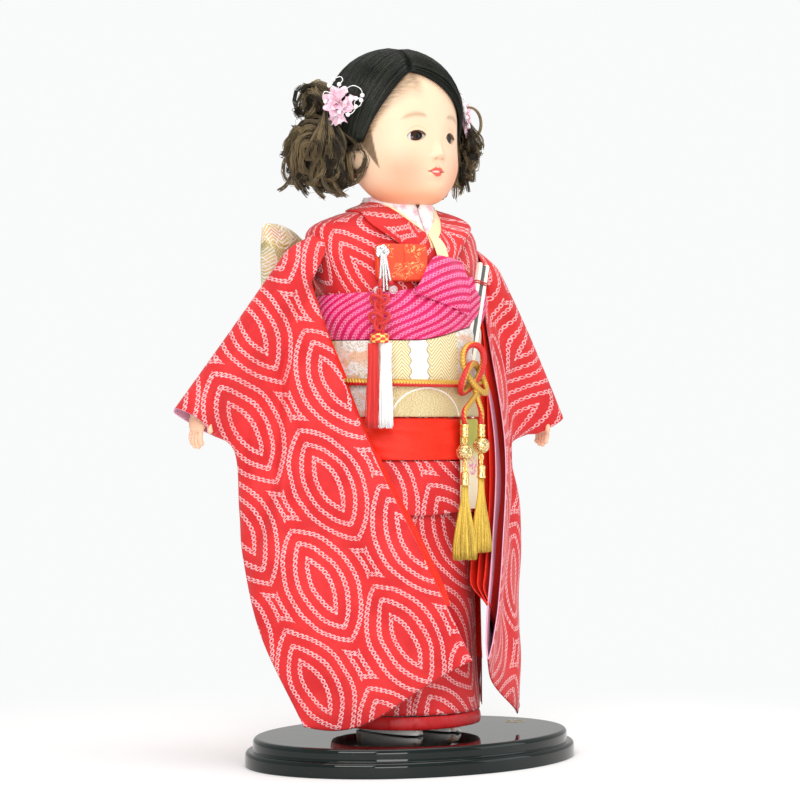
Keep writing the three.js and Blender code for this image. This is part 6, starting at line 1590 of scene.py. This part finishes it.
glass_eye = painted("glass_eye", Roughness=0.06, Specular_IOR_Level=0.25, Coat_Weight=0.25,
    Coat_Roughness=0.02)
away = mask("from_pupil")
bearing = mask("bearing")
rays = noise(put("CombineXYZ", {0: times(bearing, 6.0), 1: away}).outputs[0], 1.4, 2)
iris = blended(rays, (0.01, 0.003, 0.002), (0.06, 0.02, 0.009))
iris = blended(ramp(away, 2.6, 2.0), iris, (0.002, 0.001, 0.001))
iris = blended(ramp(away, 4.4, 5.1), iris, (0.006, 0.003, 0.002))
white = blended(rays, (0.66, 0.66, 0.68), (0.78, 0.78, 0.8))
feed(Base_Color=blended(ramp(away, 5.2, 5.55), iris, white))
for sign, name in ((-1, "right_eye"), (1, "left_eye")):
    at_turn = FACE_TURN + sign * 0.38
    seat = skull(np.array(at_turn), np.array(-math.asin(0.193)), -1.2, 0)
    out = np.array([math.sin(at_turn * 0.7), -math.cos(at_turn * 0.7), -0.03])
    out /= np.linalg.norm(out)
    gaze = out + np.array([0.25, 0.08, 0.02])
    gaze /= np.linalg.norm(gaze)
    right = np.cross(gaze, [0, 0, 1])
    right /= np.linalg.norm(right)
    over = np.cross(right, gaze)
    r = np.linspace(0.002, 1.25, 70)[:, None]
    a = circle(72)[None, :]
    way = stacked(np.cos(r), np.sin(r) * np.cos(a), np.sin(r) * np.sin(a)) @ np.array([gaze, right, over])
    dome = seat - 8.95 * out + 8.5 * way
    ball = surface(name + "_glass", head_place(dome), close_v=True)
    attribute(ball, "from_pupil", np.broadcast_to(8.5 * np.sin(np.minimum(r, 1.5)), (70, 72)))
    attribute(ball, "bearing", np.broadcast_to(np.cos(3 * a), (70, 72)))
    wear(ball, glass_eye, "head", "glass_eye", name)

# Hair
# Straight black hair on a cap, combed from a side parting to the temples and the nape and cut off level
# there; the nearest strands lie separate and catch the light.


def hair_paint(name, dark, light, shine):
    """Hair whose tone changes by strand and in soft bands along it; the light tone is partly the hair's own
    and partly painted highlight.
    """
    made = painted(name, Roughness=shine, Specular_IOR_Level=0.3)
    along = at_uv()
    band = noise(along, 0.08, 2)
    tone = times(mask("tone"), ramp(band, 0.25, 0.7, 0.35, 1.0))
    feed(Base_Color=blended(tone, dark, light))
    bumped(band, 0.2, 0.0003)
    return made


# The olive light tone of the black hair is painted highlight.
black_hair = hair_paint("black_hair", (0.003, 0.005, 0.004), (0.034, 0.036, 0.022), 0.33)
cap_black = mottled("cap_black", 500, 3, (0.002, 0.003, 0.003), (0.006, 0.008, 0.006), bump=(0.4, 0.0005),
    Roughness=0.5, Specular_IOR_Level=0.15)


def aimed(turn, tilt):
    """The unit vector from the head's middle at a turn and a tilt."""
    return stacked(np.sin(turn) * np.cos(tilt), -np.cos(turn) * np.cos(tilt), np.sin(tilt))


def cap_grow(turn, tilt):
    """How far the hair stands off the head: thin at its edge, full from a little way in."""
    return 1.7 + 2.8 * np.sqrt(mix(0.12, 1, ease((tilt - hairline(turn)), 0, 0.3)))


t, a = girth(60, 220)
cap_tilt = mix(hairline(a) + 0 * t, np.pi / 2 - 0.01, t)
cap_out = skull(a + 0 * t, cap_tilt, 0, cap_grow(a, cap_tilt) - 0.4
    - 0.9 * bump(a, -0.4, 0.04) * (1 - ease(t, 0.7, 0.95)))
cap_in = skull(a + 0 * t, cap_tilt, 0, 1.0 + 0 * cap_tilt)[::-1][-12:]
cap = surface("hair_cap_shell", head_place(np.concatenate([cap_in, cap_out])), close_v=True, flip=True)
wear(cap, cap_black, "head", "black_hair", "hair_cap")
HAIRS = 1000
draw = np.random.default_rng(21)
for sign, name in ((-1, "right"), (1, "left")):
    back = draw.uniform(0, 1, (HAIRS, 1)) ** 0.85
    t = np.linspace(0, 1, 18)[None, :]
    over = mix(0.77, 3.15, back) + draw.normal(0, 0.012, (HAIRS, 1))
    start = aimed(-0.4, over) + 0.006 * sign * np.array([math.cos(0.4), -math.sin(0.4), 0])
    end_turn = sign * mix(1.18, 3.05, back) + draw.normal(0, 0.02, (HAIRS, 1))
    end_tilt = hairline(end_turn) + 0.015
    end = aimed(end_turn, end_tilt)
    apart = np.sum(start * end, -1) / np.linalg.norm(start, axis=-1) / np.linalg.norm(end, axis=-1)
    arc = np.arccos(np.clip(apart, -1, 1))
    way = (np.sin((1 - t) * arc)[..., None] * start + np.sin(t * arc)[..., None] * end)
    flow_turn = np.arctan2(way[..., 0], -way[..., 1])
    flow_tilt = np.arctan2(way[..., 2], np.hypot(way[..., 0], way[..., 1]))
    flow_tilt = np.maximum(flow_tilt, hairline(flow_turn) + 0.012)
    lift = cap_grow(flow_turn, flow_tilt) - 0.25 + draw.uniform(0, 0.45, (HAIRS, 1)) * (1 - 0.8 * t ** 4)
    lift = lift - 0.8 * (1 - ease(t * arc, 0, 0.05))
    strands = skull(flow_turn, flow_tilt, 0, lift)
    piece = tubes(name + "_combed_hair", head_place(strands), draw.uniform(0.00015, 0.00026, (HAIRS, 1)), 3)
    wear(piece, black_hair, "head", "black_hair")

# Curled bunches
# Brown hair gathered behind each temple: part of it lies in rings round a dark core of painted shade, part
# falls from the tie, and every lock ends in a small curl.

# The light tone of the brown hair is partly its own colour and partly painted highlight.
brown_hair = hair_paint("brown_hair", (0.008, 0.006, 0.003), (0.4, 0.29, 0.15), 0.3)
# The bunch core is a dark ellipsoid of painted shade that fills the hollow inside the curls.
shade_core_paint = mottled("brown_core_shade", 260, 4, (0.006, 0.005, 0.003), (0.04, 0.03, 0.015), bump=(0.6, 0.001),
    Roughness=0.55)
BUNCH_MID = np.array([-47.0, 9.5, -12.0])
BUNCH_AXES = np.array([(0.49, -0.87, 0.0), (0.0, 0.0, 1.0), (-0.87, -0.49, 0.0)])
BUNCH_TIE = (6.0, 20.0)
STRANDS, FALLS = 19, (0.5, 0.0, 0.6)


def in_bunch(fore, up, out):
    """Points of the right bunch in mm: forward, up and outward from its middle."""
    return BUNCH_MID + stacked(fore, up, out) @ BUNCH_AXES


def headed(points, sign):
    """Right-side points of the head, mirrored for the left side, in the shared frame."""
    return head_place(points * np.array([-sign, 1, 1]))


def curled(draw, lobe, locks, each, fall):
    """Strands of a lobe (fore, up, out, half width, half height, half depth), shaped (strand, step, 3).

    Each lock leaves near the tie, arcs round the lobe or, for a share, falls through it with a slow wave,
    and ends in a small open curl."""
    fore, up, out, wide, tall, deep = lobe
    t = np.linspace(0, 1, 20)[None, :]
    some = lambda low, high: draw.uniform(low, high, (locks, 1))
    full = some(0.12, 1.0) ** 0.6
    falls, aside = draw.random((locks, 1)) < fall, some(-0.95, 0.95)
    first = math.atan2((BUNCH_TIE[1] - up) / tall, (BUNCH_TIE[0] - fore) / wide)
    first = first + draw.normal(0, 0.4, (locks, 1))
    onward = draw.random((locks, 1)) < (0.62 if fall else 0.96)
    spin = first + np.where(onward, some(1.3, 3.7), -some(1.0, 2.4)) * t
    reach = full * (1 - 0.16 * ease(t, 0.7, 1)) * mix(0.85, 1, ease(t, 0, 0.2))
    bulge = np.where(draw.random((locks, 1)) < 0.7, 1, -0.8) * deep * np.sqrt(1 - 0.9 * full ** 2)
    wave = some(0.4, 1.7) * np.sin(some(4, 9) * t + some(0, 6.3)) * ease(t, 0.05, 0.4)
    turn = 2 * np.pi * (some(0.2, 1.2) + 0.3 * falls) * np.clip((t - 0.62) / 0.38, 0, 1)
    turn = turn * draw.choice([-1, 1], (locks, 1))
    small, lean = some(1.6, 4.2) * (1 + 0.25 * falls), some(0, 6.3)
    foot = up - tall * some(0.3, 0.95) * np.sqrt(1 - 0.55 * aside ** 2)
    x = np.where(falls, mix(BUNCH_TIE[0], fore + wide * aside, ease(t, 0, 0.6)) + 1.5 * wave,
                 fore + (wide * reach + wave) * np.cos(spin))
    z = np.where(falls, mix(BUNCH_TIE[1], foot, t ** 0.9), up + (tall * reach + wave) * np.sin(spin))
    x = x + small * (np.cos(turn + lean) - np.cos(lean))
    z = z + small * (np.sin(turn + lean) - np.sin(lean))
    y = out + bulge * np.sin(np.pi * mix(0.15, 0.85, t)) + 0.8 * wave + 0.5 * small * np.sin(turn)
    middle = in_bunch(x, z, y)[:, None]
    spread = mix(0.4, 0.85, np.sin(np.pi * mix(0.05, 0.75, t)))[:, None, :, None]
    loose = draw.normal(0, 1, (locks, each, 1, 3)) * spread
    frizz = 0.16 * np.sin(draw.uniform(4, 10, (locks, each, 1, 3)) * t[..., None]
        + draw.uniform(0, 6, (locks, each, 1, 3)))
    return (middle + loose + frizz).reshape(-1, t.size, 3)


u = np.linspace(0, np.pi, 50)[:, None]
v = circle(90)[None, :]
lump = 1 + 0.06 * np.sin(5 * v + 4 * u) + 0.05 * np.sin(9 * v - 6 * u)
pith = in_bunch(14 * np.sin(u) * np.cos(v) * lump - 2, 25 * np.cos(u) * lump - 2,
    8 * np.sin(u) * np.sin(v) * lump)
bunch_lobes = {
    "right": [((-1, -10, 4, 20, 26, 15), 64), ((-3, 20, 3, 11.5, 15, 9), 24), ((12, -15, -4, 10, 18, 9), 16)],
    "left": [((0, -3, 8, 18, 19, 14), 60), ((-3, 12, 6, 11, 13, 9), 22), ((8, -13, 0, 9, 15, 8), 12)]}
for sign, name, seed in ((-1, "right", 31), (1, "left", 47)):
    draw = np.random.default_rng(seed)
    # The core is painted shade in the hollow of the bunch.
    core = surface(name + "_bunch_shade_core", headed(pith, sign), close_v=True)
    wear(core, shade_core_paint, "head", "brown_hair", name + "_bunch")
    for k, (lobe, locks) in enumerate(bunch_lobes[name]):
        strands = curled(draw, lobe, locks, STRANDS, FALLS[k])
        piece = tubes(f"{name}_curls_{k}", headed(strands, sign),
            draw.uniform(0.00014, 0.00024, (len(strands), 1)), 3)
        lock_tone = np.repeat(draw.random(locks) ** 1.3, STRANDS) * draw.uniform(0.7, 1.0, len(strands))
        attribute(piece, "tone", np.repeat(lock_tone, len(piece.data.vertices) // len(strands)))
        wear(piece, brown_hair, "head", "brown_hair")
        wild = curled(draw, (*lobe[:3], 1.04 * lobe[3], 1.04 * lobe[4], lobe[5]), 12, 1, 0.5)
        piece = tubes(f"{name}_strays_{k}", headed(wild, sign), 0.00009, 3)
        wear(piece, brown_hair, "head", "brown_hair")
loop_turn = np.linspace(3.75, -1.6, 40)[None, :]
draw = np.random.default_rng(5)
slack = draw.normal(0, 0.45, (30, 1))
loop_away = (7.1 + slack) * np.cos(loop_turn) * 1.05
loop_x = 57 + 0.766 * loop_away + 0.4 * draw.normal(0, 1, (30, 1))
loop_y, loop_z = -4.3 - 0.643 * loop_away + 0.4 * slack, 5.4 + (10.2 + slack) * np.sin(loop_turn)
loose_loop = head_place(stacked(loop_x, loop_y, loop_z))
wear(tubes("left_loose_loop", loose_loop, 0.00022, 4), brown_hair, "head", "brown_hair")

# Hair flowers
# A crumpled flower of pink organza on each bunch, with ribbon ends and pearl beads on fine white wire.

organza = painted("pink_organza", Roughness=0.6, Sheen_Weight=0.5, Subsurface_Weight=0.25,
    Subsurface_Scale=0.002)
place = at_object()
cloud = noise(place, 260, 3)
net = noise(place, 2200, 1)
feed(Base_Color=blended(ramp(cloud, 0.3, 0.7), (0.84, 0.42, 0.54), (0.93, 0.68, 0.76)))
bumped(math_of("ADD", cloud, net), 0.5, 0.0006)
pearl = mottled("pearl", 600, 1, (0.84, 0.83, 0.82), (0.93, 0.92, 0.92), Roughness=0.2, Coat_Weight=0.6)
FLOWER_MID = np.array([-48.0, -6.5, 10.0])
flower_out = np.array([-0.72, -0.66, 0.2]) / np.linalg.norm([-0.72, -0.66, 0.2])
flower_fore = np.cross([0, 0, 1], flower_out)
flower_fore /= np.linalg.norm(flower_fore)
flower_up = np.cross(flower_fore, flower_out) * np.sign(np.cross(flower_fore, flower_out)[2])
flower_axes = np.array([flower_fore, flower_up, flower_out])


def on_flower(fore, up, out):
    """Points of the right flower in mm: forward, up and outward from its middle."""
    return FLOWER_MID + stacked(fore, up, out) @ flower_axes


u, v = grid(18, 16)
draw = np.random.default_rng(8)
petals = []
for k, (reach, lean) in enumerate([(9.4, 0.2)] * 5 + [(7.2, 0.6)] * 4 + [(4.2, 1.1)] * 3):
    bearing = 2 * np.pi * k / (5 if k < 5 else 4 if k < 9 else 3) + draw.uniform(-0.3, 0.3)
    fan = bearing + (v - 0.5) * 1.5 * np.sqrt(u + 0.03)
    along = reach * u * (1 - 0.12 * np.cos(4 * np.pi * v))
    crumple = 0.8 * np.sin(7 * u + 5 * v + k) * u + 0.55 * np.sin(13 * v + 2 * k) * u
    lift = along * math.sin(lean) + 1.2 * np.sin(np.pi * v) * u + crumple + 0.3
    petals.append(on_flower(along * math.cos(lean) * np.cos(fan), along * math.cos(lean) * np.sin(fan), lift))
for k, (fore, drop) in enumerate(((-6.5, 11.5), (-1.0, 10.0), (2.6, 8.5))):
    spread = (v - 0.5) * mix(2.5, 5.5, u)
    lift = 0.6 + 0.9 * np.sin(6 * v + 3 * u + k) + 0.5 * u
    petals.append(on_flower(fore * u + spread, -4 - drop * u + 0.6 * np.cos(6 * v + k), lift))
bead_spots = np.array([(-3.7, 13.7), (0, 10.6), (-6, 9.9), (6.8, 1.5), (14.2, 3.5), (10.5, 1.6), (10.5, -3.5),
    (5.9, -8.4), (0.6, -6.7), (-7.9, 0.0), (13.6, 0.4)])
bead_x, bead_y, bead_z = sphere(14, 20)
beads = np.stack([on_flower(x + 1.35 * bead_x, y + 1.35 * bead_y, 3.2 + 1.35 * bead_z)
    for x, y in bead_spots])
t = np.linspace(0, 1, 50)
wires = np.stack([on_flower(*spline(path, t).T, 3.0 + 0.6 * np.sin(6 * t))
    for path in ([(0, 4), (-3, 9), (-6, 10), (-3.7, 13.7), (0.5, 15.5), (2.0, 13.5), (0, 10.6), (-1, 6)],
    [(3, 4), (5, 8), (9, 9.5), (13, 7.5), (14.2, 3.5), (12, 2), (10.5, 1.6)],
    [(4, 0), (6.8, 1.5), (10.5, 1.6), (13.6, 0.4), (13.2, -2.5), (10.5, -3.5), (9.5, -1.2), (10.5, 1.6)],
    [(2, -5), (5.9, -8.4), (9, -7), (10.5, -3.5), (8, -5.0), (4, -4.5)],
    [(-4, 5), (-8.5, 6), (-9.5, 2), (-7.9, 0), (-4, -1)])])
for sign, name in ((-1, "right"), (1, "left")):
    flower = surface(name + "_flower_petals", headed(np.stack(petals), sign))
    wear(thick(flower, 0.25), organza, "head", "pink_flower", name + "_flower")
    wear(surface(name + "_flower_beads", headed(beads, sign), close_v=True), pearl, "head", "white_cloth")
    wear(tubes(name + "_flower_wires", headed(wires, sign), 0.00026, 6), pearl, "head", "white_cloth")
